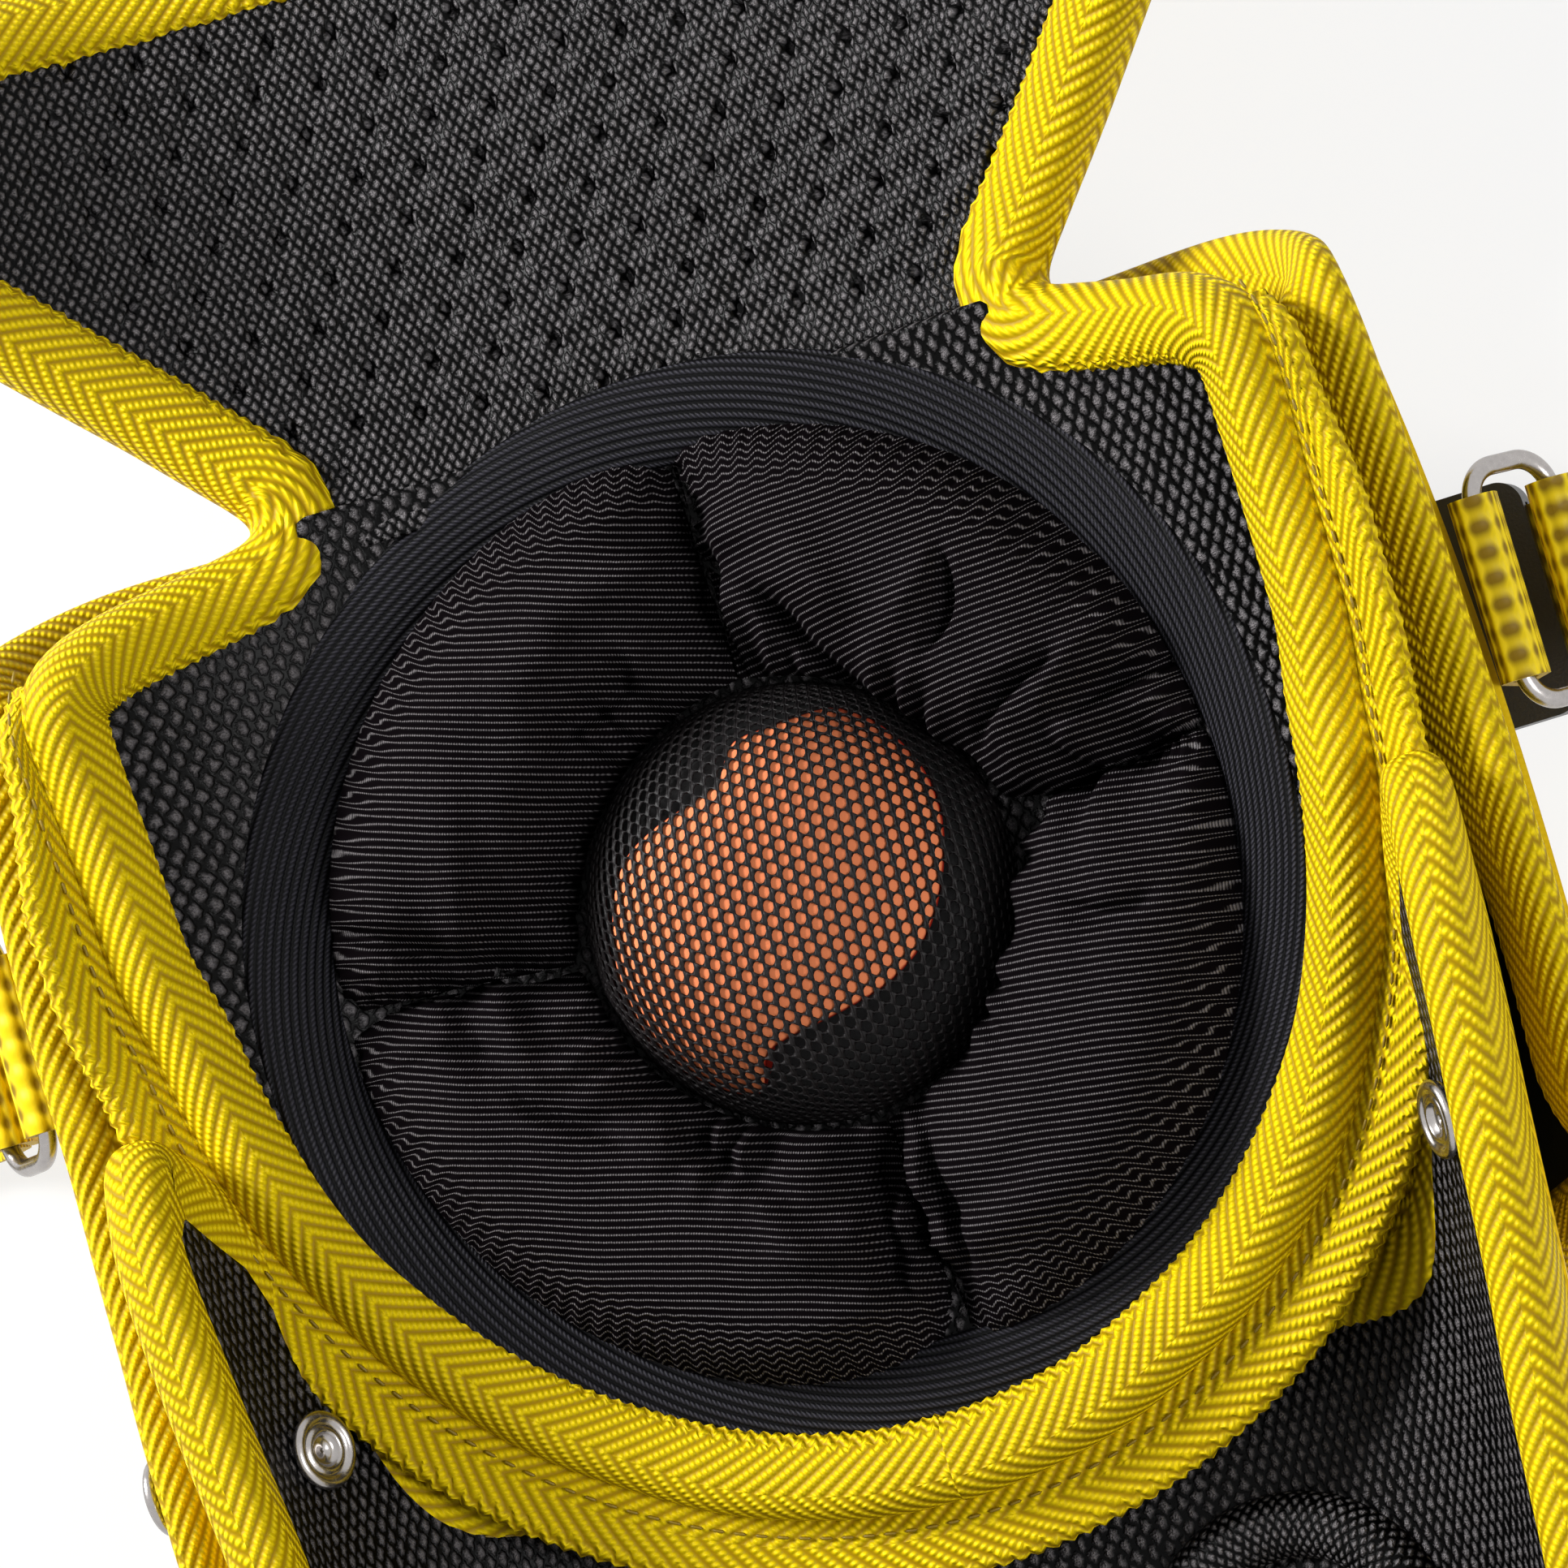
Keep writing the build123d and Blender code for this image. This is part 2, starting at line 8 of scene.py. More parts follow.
import json

import bpy
import numpy as np
from mathutils import Matrix, Vector

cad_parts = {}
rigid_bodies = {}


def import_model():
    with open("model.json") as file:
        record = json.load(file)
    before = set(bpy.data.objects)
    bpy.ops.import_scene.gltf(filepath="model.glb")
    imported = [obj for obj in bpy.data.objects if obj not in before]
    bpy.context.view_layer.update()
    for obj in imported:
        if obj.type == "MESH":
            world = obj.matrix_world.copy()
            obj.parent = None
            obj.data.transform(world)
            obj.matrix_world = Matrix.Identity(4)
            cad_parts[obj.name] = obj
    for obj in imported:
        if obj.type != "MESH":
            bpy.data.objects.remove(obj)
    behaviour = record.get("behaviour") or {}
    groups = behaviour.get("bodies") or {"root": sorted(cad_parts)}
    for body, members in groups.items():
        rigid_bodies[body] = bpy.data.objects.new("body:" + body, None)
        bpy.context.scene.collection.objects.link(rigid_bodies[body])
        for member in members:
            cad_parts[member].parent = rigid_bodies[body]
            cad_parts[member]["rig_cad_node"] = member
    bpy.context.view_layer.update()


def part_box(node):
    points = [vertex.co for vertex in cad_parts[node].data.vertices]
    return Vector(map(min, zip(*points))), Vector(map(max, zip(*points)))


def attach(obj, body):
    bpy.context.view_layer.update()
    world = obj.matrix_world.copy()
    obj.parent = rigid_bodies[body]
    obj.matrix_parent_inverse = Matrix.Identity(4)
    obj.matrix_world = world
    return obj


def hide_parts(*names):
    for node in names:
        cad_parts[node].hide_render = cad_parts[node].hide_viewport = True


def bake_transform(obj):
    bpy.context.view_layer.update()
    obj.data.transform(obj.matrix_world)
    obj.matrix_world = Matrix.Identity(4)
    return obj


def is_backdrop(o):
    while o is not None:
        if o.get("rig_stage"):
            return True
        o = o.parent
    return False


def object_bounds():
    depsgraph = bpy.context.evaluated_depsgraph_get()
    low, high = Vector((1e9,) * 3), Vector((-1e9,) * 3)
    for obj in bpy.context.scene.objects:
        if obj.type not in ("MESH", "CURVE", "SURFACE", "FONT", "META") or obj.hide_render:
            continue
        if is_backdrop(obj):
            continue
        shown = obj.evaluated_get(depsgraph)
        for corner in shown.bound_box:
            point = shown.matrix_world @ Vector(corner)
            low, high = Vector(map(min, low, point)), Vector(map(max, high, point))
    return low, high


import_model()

MM = 0.001
TURN = 2 * np.pi


def box_mm(node_name):
    """Lowest and highest corner of a CAD node, in millimetres."""
    low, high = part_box(node_name)
    return np.array(low) / MM, np.array(high) / MM


# ---- sizes --------------------------------------------------------------------------------------
knee_low, knee_high = box_mm("knee_rim_binding")
liner_low, liner_high = box_mm("knee_liner_binding")
_, flap_high = box_mm("flap_binding")
shin_low, shin_high = box_mm("shin_binding")
_, dome_high = box_mm("dome_mesh")
_, ring_tape_high = box_mm("cushion_ring_tape")

# Half widths, heights and ends read from the CAD pieces.
KNEE_HALF = knee_high[0]
KNEE_RIM = knee_high[2]
LINER_HALF = liner_high[0]
LINER_DOWN = -liner_low[1]
FLAP_HALF = flap_high[0]
FLAP_TOP = flap_high[1]
SHIN_END = shin_low[1]
DOME_RADIUS = dome_high[0]
DOME_TOP = dome_high[2]
RING_TAPE_RADIUS = ring_tape_high[1]

# The neck, where the liner folds over into the flap, and where the flap's sides start and stop slanting out.
NECK_HALF = 56.0
NECK_Y = 70.0
NECK_FLARE_Y = 75.0
FLAP_WIDEST_Y = NECK_FLARE_Y + FLAP_HALF - NECK_HALF
# Half the length over which the liner's and the flap's surfaces run into each other, and over which they
# bend.
NECK_JOIN = 6.0

# From each trough's outer face to its leg-side face.
LINER_WALL = 8.9
FLAP_WALL = 8.1
SHIN_WALL = 8.1
KNEE_WALL = 3.7

# Middle of the liner's round lower half, the shin guard's edge under the knee, and its wings' height there.
BOWL_Y = 10.0
SHIN_HEAD_Y = -62.0
WING_INNER = 34.0

# Half widths of the folded tapes, the pitch of the bumps along a tape's selvedge, and how far the linings'
# edges lie in from the tape's outer edge.
EDGE_TAPE_HALF = 6.1
RIM_TAPE_HALF = 5.6
SHIN_TAPE_HALF = 5.8
FLANGE_HALF = 5.0
RING_TAPE_HALF = 6.6
SELVEDGE_PITCH = 2.2
LINING_INSET = 5.5

# The ring cushion's roll: radius of its middle line, half width and height.
CUSHION_MIDDLE = 48.3
CUSHION_HALF = 17.6
CUSHION_RISE = 19.5

# Height of the leg's middle, and the radius at which the straps run round it.
LEG_MIDDLE = 70.0
LEG_RADIUS = 105.0

# Sections of each trough's outer face: y, half width, floor height, corner radius.
TROUGHS = {
    "knee": (
        (82.0, KNEE_HALF - 3, 20.0, 60.0),
        (0.0, KNEE_HALF, 0.6, 60.0),
        (-88.0, KNEE_HALF - 1, 10.5, 60.0),
    ),
    "liner": ((81.0, 112.0, 30.0, 98.0), (0.0, 112.0, 20.5, 98.0), (-92.0, 112.0, 36.0, 98.0)),
    "shin": ((-8.0, shin_high[0], 21.0, 57.0), (SHIN_END - 4, shin_high[0] - 28.5, 0.0, 45.0)),
    "flap": ((69.6, 128.0, 26.0, 112.0), (173.0, 122.0, 15.0, 106.0)),
}


def section(trough, y):
    """Half width, floor and corner of a trough at y: the line or parabola through its sections."""
    rows = np.array(TROUGHS[trough])
    total = 0
    for i, place in enumerate(rows[:, 0]):
        others = np.delete(rows[:, 0], i)
        share = np.prod([(y - other) / (place - other) for other in others], axis=0)
        total = total + share[..., None] * rows[i, 1:]
    return total[..., 0], total[..., 1], total[..., 2]


def lay(trough, s, y, depth):
    """Points and leg-side normals of a layer: flat in the middle, then an arc at the corner, then straight up.

    s is measured round the outer face from the middle, and depth is the distance in from that face.
    """
    s, y, depth = np.broadcast_arrays(np.asarray(s, float), y, depth)
    half, floor, corner = section(trough, y)
    flat = half - corner
    side = np.where(s < 0, -1.0, 1.0)
    turn = np.clip((np.abs(s) - flat) / corner, 0, np.pi / 2)
    up = np.maximum(np.abs(s) - flat - corner * np.pi / 2, 0)
    x = side * (np.minimum(np.abs(s), flat) + (corner - depth) * np.sin(turn))
    z = floor + depth + (corner - depth) * (1 - np.cos(turn)) + up
    return np.stack([x, y, z], -1), np.stack([-side * np.sin(turn), 0 * turn, np.cos(turn)], -1)


def s_at_x(trough, x, y, depth):
    """Arc position of the point of a layer at this x."""
    half, _, corner = section(trough, y)
    flat = half - corner
    turn = np.arcsin(np.clip((np.abs(x) - flat) / (corner - depth), 0, 0.999))
    return np.sign(x) * (np.minimum(np.abs(x), flat) + corner * turn)


def s_at_z(trough, z, y, depth):
    """Arc position, on the positive side, of the point of a layer at this height."""
    half, floor, corner = section(trough, y)
    turn = np.arccos(np.clip(1 - (z - floor - depth) / (corner - depth), 0, 1))
    return half - corner + corner * turn + np.maximum(z - floor - corner, 0)


def over(trough, x, y, depth):
    """Points and leg-side normals of a layer over these places in plan."""
    return lay(trough, s_at_x(trough, x, y, depth), y, depth)


# ---- paths --------------------------------------------------------------------------------------
def smoothstep(low, high, value):
    """Zero at low and one at high, with a level start and end. Low may be the larger one."""
    t = np.clip((value - low) / (high - low), 0, 1)
    return t * t * (3 - 2 * t)


def rounded(points, radius, closed=False, step=1.0):
    """Polyline with each corner replaced by a quadratic curve that starts and ends a radius away from it,
    resampled at even steps."""
    points = np.array(points, float)
    radius = np.broadcast_to(radius, len(points))
    out = []
    for i, corner in enumerate(points):
        if not closed and i in (0, len(points) - 1):
            out.append(corner[None])
            continue
        before, after = points[i - 1] - corner, points[(i + 1) % len(points)] - corner
        near = min(radius[i], 0.49 * np.linalg.norm(before), 0.49 * np.linalg.norm(after))
        start = corner + before / np.linalg.norm(before) * near
        end = corner + after / np.linalg.norm(after) * near
        t = np.linspace(0, 1, 9)[:, None]
        out.append((1 - t) ** 2 * start + 2 * t * (1 - t) * corner + t * t * end)
    line = np.vstack(out)
    if closed:
        line = np.vstack([line, line[:1]])
    return resample(line, step, closed)


def resample(line, step, closed=False):
    """The same line at even steps. A closed line comes back without its last point."""
    lengths = np.r_[0, np.cumsum(np.linalg.norm(np.diff(line, axis=0), axis=1))]
    count = max(int(round(lengths[-1] / step)), 8)
    at = np.linspace(0, lengths[-1], count + 1)
    even = np.stack([np.interp(at, lengths, line[:, k]) for k in range(line.shape[1])], -1)
    return even[:-1] if closed else even


def soften(values, width, closed):
    """Moving average along the first axis, repeated three times."""
    if width < 2:
        return values
    kernel = np.ones(width) / width
    for _ in range(3):
        mode = "wrap" if closed else "edge"
        padded = np.pad(values, ((width // 2, width - 1 - width // 2), (0, 0)), mode=mode)
        values = np.stack([np.convolve(padded[:, k], kernel, "valid") for k in range(values.shape[1])], -1)
    return values


def unit(vectors):
    """The same directions with a length of one."""
    return vectors / np.maximum(np.linalg.norm(vectors, axis=-1, keepdims=True), 1e-9)


def frame_along(path, normals, closed, turn_width=1):
    """Outward and upward directions along a path that runs anticlockwise, seen from the leg's side.
    A turn is spread over turn_width points each way."""
    if closed:
        ahead = np.roll(path, -1, axis=0) - np.roll(path, 1, axis=0)
    else:
        ahead = np.gradient(path, axis=0)
    ahead = unit(soften(unit(ahead), turn_width, closed))
    out = unit(np.cross(ahead, normals))
    return out, unit(np.cross(out, ahead))


def lengths_along(path):
    """Distance of each point from the first, along the path."""
    return np.r_[0, np.cumsum(np.linalg.norm(np.diff(path, axis=0), axis=1))]


# ---- meshes -------------------------------------------------------------------------------------
def mesh_piece(name, points, faces, uv, material):
    """Object from points in millimetres, a list of faces and one UV pair, in millimetres, for each corner."""
    mesh = bpy.data.meshes.new(name)
    mesh.from_pydata((points * MM).tolist(), [], faces)
    layer = mesh.uv_layers.new(name="cloth")
    layer.data.foreach_set("uv", np.asarray(uv, np.float32).ravel())
    mesh.polygons.foreach_set("use_smooth", [True] * len(mesh.polygons))
    mesh.materials.append(material)
    mesh.update()
    made = bpy.data.objects.new(name, mesh)
    bpy.context.scene.collection.objects.link(made)
    return made


def signed_volume(points, quads):
    """Six times the volume that the quads hold, and below zero where they face inwards."""
    a, b, c, d = (points[quads[:, k]] for k in range(4))
    return np.sum(np.cross(a, b) * c) + np.sum(np.cross(a, c) * d)


def tube_faces(rows, columns, closed_rows):
    """Quads of a grid whose columns wrap round, and whose rows wrap round where it is closed."""
    i = np.arange(rows if closed_rows else rows - 1)[:, None]
    j = np.arange(columns)[None, :]
    i2, j2 = (i + 1) % rows, (j + 1) % columns
    i, i2, j, j2 = np.broadcast_arrays(i, i2, j, j2)
    quads = np.stack([i * columns + j, i * columns + j2, i2 * columns + j2, i2 * columns + j], -1)
    return quads.reshape(-1, 4)


def tube(name, rings, along, round_, material, closed=False):
    """Tube through rings of points: rows along, columns round. Open ends are closed with a fan to the middle.

    UV is the distance along the path and the distance round the ring.
    """
    rows, columns = rings.shape[:2]
    points = rings.reshape(-1, 3)
    quads = tube_faces(rows, columns, closed)
    next_along = np.r_[along[1:], along[-1] + (along[-1] - along[-2])] if closed else along
    next_round = np.r_[round_, round_[-1] + (round_[-1] - round_[-2])]
    i, j = quads[:, 0] // columns, quads[:, 0] % columns
    u1, u2 = along[i], next_along[i] if closed else along[i + 1]
    v1, v2 = round_[j], next_round[j + 1]
    uv = np.stack([u1, v1, u1, v2, u2, v2, u2, v1], -1).reshape(-1, 4, 2)
    inside_out = signed_volume(points, quads) < 0
    if inside_out:
        quads, uv = quads[:, ::-1], uv[:, ::-1]
    faces, corners = quads.tolist(), uv.reshape(-1, 2)
    if not closed:
        middles = np.stack([rings[0].mean(0), rings[-1].mean(0)])
        points = np.vstack([points, middles])
        ring = np.arange(columns)
        after = (ring + 1) % columns
        last_row = (rows - 1) * columns
        first_cap = np.stack([ring * 0 + rows * columns, after, ring], -1)
        last_cap = np.stack([ring * 0 + rows * columns + 1, last_row + ring, last_row + after], -1)
        caps = np.vstack([first_cap, last_cap])
        if inside_out:
            caps = caps[:, ::-1]
        faces += caps.tolist()
        cap_uv = np.zeros((len(caps), 3, 2))
        cap_uv[..., 0] = along[0]
        corners = np.vstack([corners, cap_uv.reshape(-1, 2)])
    return mesh_piece(name, points, faces, corners, material)


def sheet_piece(name, points, uv, material, thickness, wrap=False):
    """Grid of points as a sheet that faces the leg, made thick on its far side by a modifier.

    With wrap, the columns run round.
    """
    rows, columns = points.shape[:2]
    i, j = np.meshgrid(np.arange(rows - 1), np.arange(columns if wrap else columns - 1), indexing="ij")
    j2 = (j + 1) % columns
    quads = np.stack([i * columns + j, (i + 1) * columns + j, (i + 1) * columns + j2, i * columns + j2], -1)
    quads = quads.reshape(-1, 4)
    flat = points.reshape(-1, 3)
    a, b, c = flat[quads[:, 0]], flat[quads[:, 1]], flat[quads[:, 2]]
    if np.cross(b - a, c - a)[:, 2].sum() < 0:
        quads = quads[:, ::-1]
    corner_uv = uv.reshape(-1, 2)[quads]
    made = mesh_piece(name, flat, quads.tolist(), corner_uv.reshape(-1, 2), material)
    if thickness:
        solid = made.modifiers.new("thickness", "SOLIDIFY")
        solid.thickness = thickness * MM
        solid.offset = -1
        solid.use_even_offset = False
    return made


def roll(half, low, high, columns=40, power=2.6):
    """Cross-section of folded tape as (out, up): a squarish oval of this half width, this far down and up."""
    angle = np.linspace(0, TURN, columns, endpoint=False)
    c, s = np.cos(angle), np.sin(angle)
    out = half * np.sign(c) * np.abs(c) ** (2 / power)
    up = np.where(s > 0, high * np.abs(s) ** (2 / power), -low * np.abs(s) ** (2 / power))
    return out, up


def swept(name, path, normals, profile, material, closed=False, change=None, turn_width=1):
    """Cross-section carried along a path. change(along, out, up) may shift it from place to place."""
    out_dir, up_dir = frame_along(path, normals, closed, turn_width)
    along = lengths_along(path)
    out, up = (np.broadcast_to(p, (len(path), len(profile[0]))) for p in profile)
    if change is not None:
        out, up = change(along[:, None], out, up)
    rings = path[:, None] + out_dir[:, None] * out[..., None] + up_dir[:, None] * up[..., None]
    ring = rings[len(path) // 2]
    round_ = np.r_[0, np.cumsum(np.linalg.norm(np.diff(ring, axis=0), axis=1))]
    return tube(name, rings, along, round_, material, closed)


# A stitch of length and radius one: a short spindle of six sides, as (along, out, up) for each point.
spin = np.arange(6) * TURN / 6
STITCH_NEAR, STITCH_FAR = (
    np.stack([spin * 0 + at, np.cos(spin) * 0.8, np.sin(spin) * 0.8], -1) for at in (-0.6, 0.6)
)
STITCH = np.vstack([[[-1, 0, 0]], STITCH_NEAR, STITCH_FAR, [[1, 0, 0]]])
STITCH_FACES = (
    [[0, 1 + (k + 1) % 6, 1 + k] for k in range(6)]
    + [[1 + k, 1 + (k + 1) % 6, 7 + (k + 1) % 6, 7 + k] for k in range(6)]
    + [[13, 7 + k, 7 + (k + 1) % 6] for k in range(6)]
)


def stitches(name, path, normals, material, length=2.3, pitch=3.3, radius=0.28, closed=False):
    """Row of thread stitches: the same small spindle placed at every pitch along a path."""
    line = np.hstack([path, normals])
    even = resample(np.vstack([line, line[:1]]) if closed else line, pitch, closed)
    place, up = even[:, :3], unit(even[:, 3:])
    ahead = unit(np.gradient(place, axis=0))
    side = unit(np.cross(ahead, up))
    shape = STITCH * np.array([length / 2, radius, radius])
    points = (
        place[:, None]
        + ahead[:, None] * shape[None, :, :1]
        + side[:, None] * shape[None, :, 1:2]
        + up[:, None] * shape[None, :, 2:]
    )
    starts = range(0, len(place) * len(STITCH), len(STITCH))
    faces = [[start + corner for corner in face] for start in starts for face in STITCH_FACES]
    uv = np.zeros((sum(len(f) for f in faces), 2))
    return mesh_piece(name, points.reshape(-1, 3), faces, uv, material)


# ---- materials ----------------------------------------------------------------------------------
def colour(code):
    """Linear colour from an sRGB hex code."""
    value = np.array([int(code[k : k + 2], 16) for k in (1, 3, 5)]) / 255
    linear = np.where(value <= 0.04045, value / 12.92, ((value + 0.055) / 1.055) ** 2.4)
    return (*linear, 1.0)


def add(tree, kind, inputs=None, **settings):
    """Adds a node with its settings. An input is a value, a socket, or a node for its first output."""
    made = tree.nodes.new(kind)
    for key, value in settings.items():
        setattr(made, key, value)
    for key, value in (inputs or {}).items():
        if isinstance(value, bpy.types.Node):
            value = value.outputs[0]
        if isinstance(value, bpy.types.NodeSocket):
            tree.links.new(value, made.inputs[key])
        else:
            made.inputs[key].default_value = value
    return made


def begin(name, roughness, **sockets):
    """A new material with its tree and its Principled shader."""
    material = bpy.data.materials.new(name)
    material.use_nodes = True
    tree = material.node_tree
    shader = tree.nodes["Principled BSDF"]
    shader.inputs["Roughness"].default_value = roughness
    for key, value in sockets.items():
        shader.inputs[key.replace("_", " ")].default_value = value
    return material, tree, shader


def paint_weave_shade_and_bump(tree, shader, height, low, high, strength, distance, tint, scale=0.06, steps=(0.0, 1.0)):
    """Colour from low to high by the height of the weave, as painted shade and highlight, mottled by a slow
    noise, and bump from the height.

    strength and distance, in millimetres, are the bump's. tint is the noise's share of the colour, and scale
    its spots in a millimetre. The colour changes between the two heights in steps.
    """
    where = add(tree, "ShaderNodeTexCoord").outputs["Object"]
    slow = add(tree, "ShaderNodeTexNoise", {"Vector": where, "Scale": scale / MM, "Detail": 3.0})
    mixed = add(tree, "ShaderNodeMath", {0: height, 1: 1 - tint}, operation="MULTIPLY")
    share = add(tree, "ShaderNodeMath", {0: slow, 1: tint, 2: mixed}, operation="MULTIPLY_ADD")
    # The ramp paints shade into the weave's hollows and a highlight on its tops.
    ramp = add(tree, "ShaderNodeValToRGB", {"Fac": share})
    for element, at, code in zip(ramp.color_ramp.elements, steps, (low, high)):
        element.position, element.color = at, colour(code)
    bump = add(tree, "ShaderNodeBump", {"Height": height, "Strength": strength, "Distance": distance * MM})
    tree.links.new(ramp.outputs[0], shader.inputs["Base Color"])
    tree.links.new(bump.outputs[0], shader.inputs["Normal"])


def cloth_axes(tree):
    """The piece's own UV in millimetres, and its two parts, along and across."""
    uv = add(tree, "ShaderNodeUVMap", uv_map="cloth")
    split = add(tree, "ShaderNodeSeparateXYZ", {0: uv})
    return uv, split.outputs[0], split.outputs[1]


def wave(tree, value, pitch):
    """Zero to one and back once in every pitch."""
    angle = add(tree, "ShaderNodeMath", {0: value, 1: TURN / pitch}, operation="MULTIPLY")
    sine = add(tree, "ShaderNodeMath", {0: angle}, operation="SINE")
    return add(tree, "ShaderNodeMath", {0: sine, 1: 0.5, 2: 0.5}, operation="MULTIPLY_ADD")


def herringbone_tape(name, low, high, rib, row, slant=1.25):
    """Woven polyester binding tape: slanting ribs that turn back at every row. Each rib is a chain of small
    knots of yarn, with painted shade in the groove beside it."""
    material, tree, shader = begin(name, 0.5, Specular_IOR_Level=0.12)
    _, along, across = cloth_axes(tree)
    zigzag = add(tree, "ShaderNodeMath", {0: across, 1: row}, operation="PINGPONG")
    slanted = add(tree, "ShaderNodeMath", {0: zigzag, 1: slant, 2: along}, operation="MULTIPLY_ADD")
    ribs = wave(tree, slanted, rib)
    back = add(tree, "ShaderNodeMath", {0: zigzag, 1: -slant, 2: along}, operation="MULTIPLY_ADD")
    yarn = wave(tree, back, rib * 0.55)
    knots = add(tree, "ShaderNodeMath", {0: yarn, 1: 0.55, 2: 0.45}, operation="MULTIPLY_ADD")
    height = add(tree, "ShaderNodeMath", {0: ribs, 1: knots}, operation="MULTIPLY")
    paint_weave_shade_and_bump(tree, shader, height, low, high, 0.9, 0.6, tint=0.15, steps=(0.04, 0.6))
    return material


def spacer_mesh(name, low, high, cell):
    """Knitted polyester spacer mesh: staggered small knots with painted shade in the pits between, and painted
    glints on the filaments.
    """
    material, tree, shader = begin(name, 0.35, Specular_IOR_Level=0.07)
    uv, along, across = cloth_axes(tree)
    rough = add(tree, "ShaderNodeTexNoise", {"Vector": uv, "Scale": 0.8, "Detail": 2.0})
    shifted = add(tree, "ShaderNodeMath", {0: rough, 1: cell * 0.7, 2: along}, operation="MULTIPLY_ADD")
    plus = add(tree, "ShaderNodeMath", {0: across, 1: 0.62, 2: shifted}, operation="MULTIPLY_ADD")
    minus = add(tree, "ShaderNodeMath", {0: across, 1: -0.62, 2: shifted}, operation="MULTIPLY_ADD")
    first, second = wave(tree, plus, cell), wave(tree, minus, cell)
    knots = add(tree, "ShaderNodeMath", {0: first, 1: second}, operation="MULTIPLY")
    strand = add(tree, "ShaderNodeTexNoise", {"Vector": uv, "Scale": 3.2, "Detail": 1.0})
    height = add(tree, "ShaderNodeMath", {0: strand, 1: knots}, operation="MULTIPLY")
    height = add(tree, "ShaderNodeMath", {0: height, 1: 1.7}, operation="MULTIPLY")
    paint_weave_shade_and_bump(tree, shader, height, low, high, 0.9, 0.6, tint=0.1, steps=(0.12, 0.85))
    return material


def ribbed_cloth(name, low, high, rib, thread):
    """Ribbed polyester faille: straight ribs of fine threads that shine along their tops only, with a painted
    highlight on the tops and painted shade between them.
    """
    material, tree, shader = begin(name, 0.38)
    uv, along, across = cloth_axes(tree)
    wobble = add(tree, "ShaderNodeTexNoise", {"Vector": uv, "Scale": 0.05, "Detail": 1.0})
    across = add(tree, "ShaderNodeMath", {0: wobble, 1: rib * 1.2, 2: across}, operation="MULTIPLY_ADD")
    ribs = wave(tree, across, rib)
    sharp = add(tree, "ShaderNodeMath", {0: ribs, 1: 4.2}, operation="POWER")
    threads = wave(tree, along, thread)
    beads = add(tree, "ShaderNodeMath", {0: threads, 1: 0.75, 2: 0.4}, operation="MULTIPLY_ADD")
    sharp = add(tree, "ShaderNodeMath", {0: sharp, 1: beads}, operation="MULTIPLY")
    grain = add(tree, "ShaderNodeTexNoise", {"Vector": uv, "Scale": 2.6, "Detail": 2.0})
    broken = add(tree, "ShaderNodeMath", {0: grain, 1: 1.5, 2: 0.1}, operation="MULTIPLY_ADD")
    height = add(tree, "ShaderNodeMath", {0: sharp, 1: broken}, operation="MULTIPLY")
    paint_weave_shade_and_bump(tree, shader, height, low, high, 0.7, 0.4, tint=0.12, steps=(0.25, 1.0))
    shine = add(tree, "ShaderNodeMath", {0: height, 1: 0.16}, operation="MULTIPLY")
    tree.links.new(shine.outputs[0], shader.inputs["Specular IOR Level"])
    return material


def twill_tape(name, low, high, rib):
    """Black woven twill tape: fine ribs along the tape, crossed by slanting threads, matt, with a painted
    highlight on the ribs and painted shade between them.
    """
    material, tree, shader = begin(name, 0.5, Specular_IOR_Level=0.08)
    _, along, across = cloth_axes(tree)
    slanted = add(tree, "ShaderNodeMath", {0: along, 1: 0.14, 2: across}, operation="MULTIPLY_ADD")
    other = add(tree, "ShaderNodeMath", {0: across, 1: 0.6, 2: along}, operation="MULTIPLY_ADD")
    ribs, threads = wave(tree, slanted, rib), wave(tree, other, rib * 0.55)
    height = add(tree, "ShaderNodeMath", {0: threads, 1: 0.7, 2: 0.4}, operation="MULTIPLY_ADD")
    height = add(tree, "ShaderNodeMath", {0: ribs, 1: height}, operation="MULTIPLY")
    paint_weave_shade_and_bump(tree, shader, height, low, high, 0.8, 0.4, tint=0.12, steps=(0.25, 0.95))
    return material


def webbing_material(name, low, high, rib):
    """Ribbed elastic webbing in Object coordinates: ladder ribs across the strap, in columns that run round
    the leg. The place along a strap is its angle about the leg's middle."""
    material, tree, shader = begin(name, 0.5, Specular_IOR_Level=0.25)
    place = add(tree, "ShaderNodeTexCoord")
    split = add(tree, "ShaderNodeSeparateXYZ", {0: place.outputs["Object"]})
    over_leg = add(tree, "ShaderNodeMath", {0: split.outputs[2], 1: LEG_MIDDLE * MM}, operation="SUBTRACT")
    angle = add(tree, "ShaderNodeMath", {0: split.outputs[0], 1: over_leg}, operation="ARCTAN2")
    ribs = wave(tree, angle, rib / LEG_RADIUS)
    columns = wave(tree, split.outputs[1], rib * 3.2 * MM)
    height = add(tree, "ShaderNodeMath", {0: columns, 1: 0.45}, operation="MULTIPLY")
    height = add(tree, "ShaderNodeMath", {0: ribs, 1: 0.55, 2: height}, operation="MULTIPLY_ADD")
    # The colour paints shade between the ribs and a highlight on their tops.
    paint_weave_shade_and_bump(tree, shader, height, low, high, 0.9, 0.6, tint=0.1, steps=(0.15, 0.6))
    return material


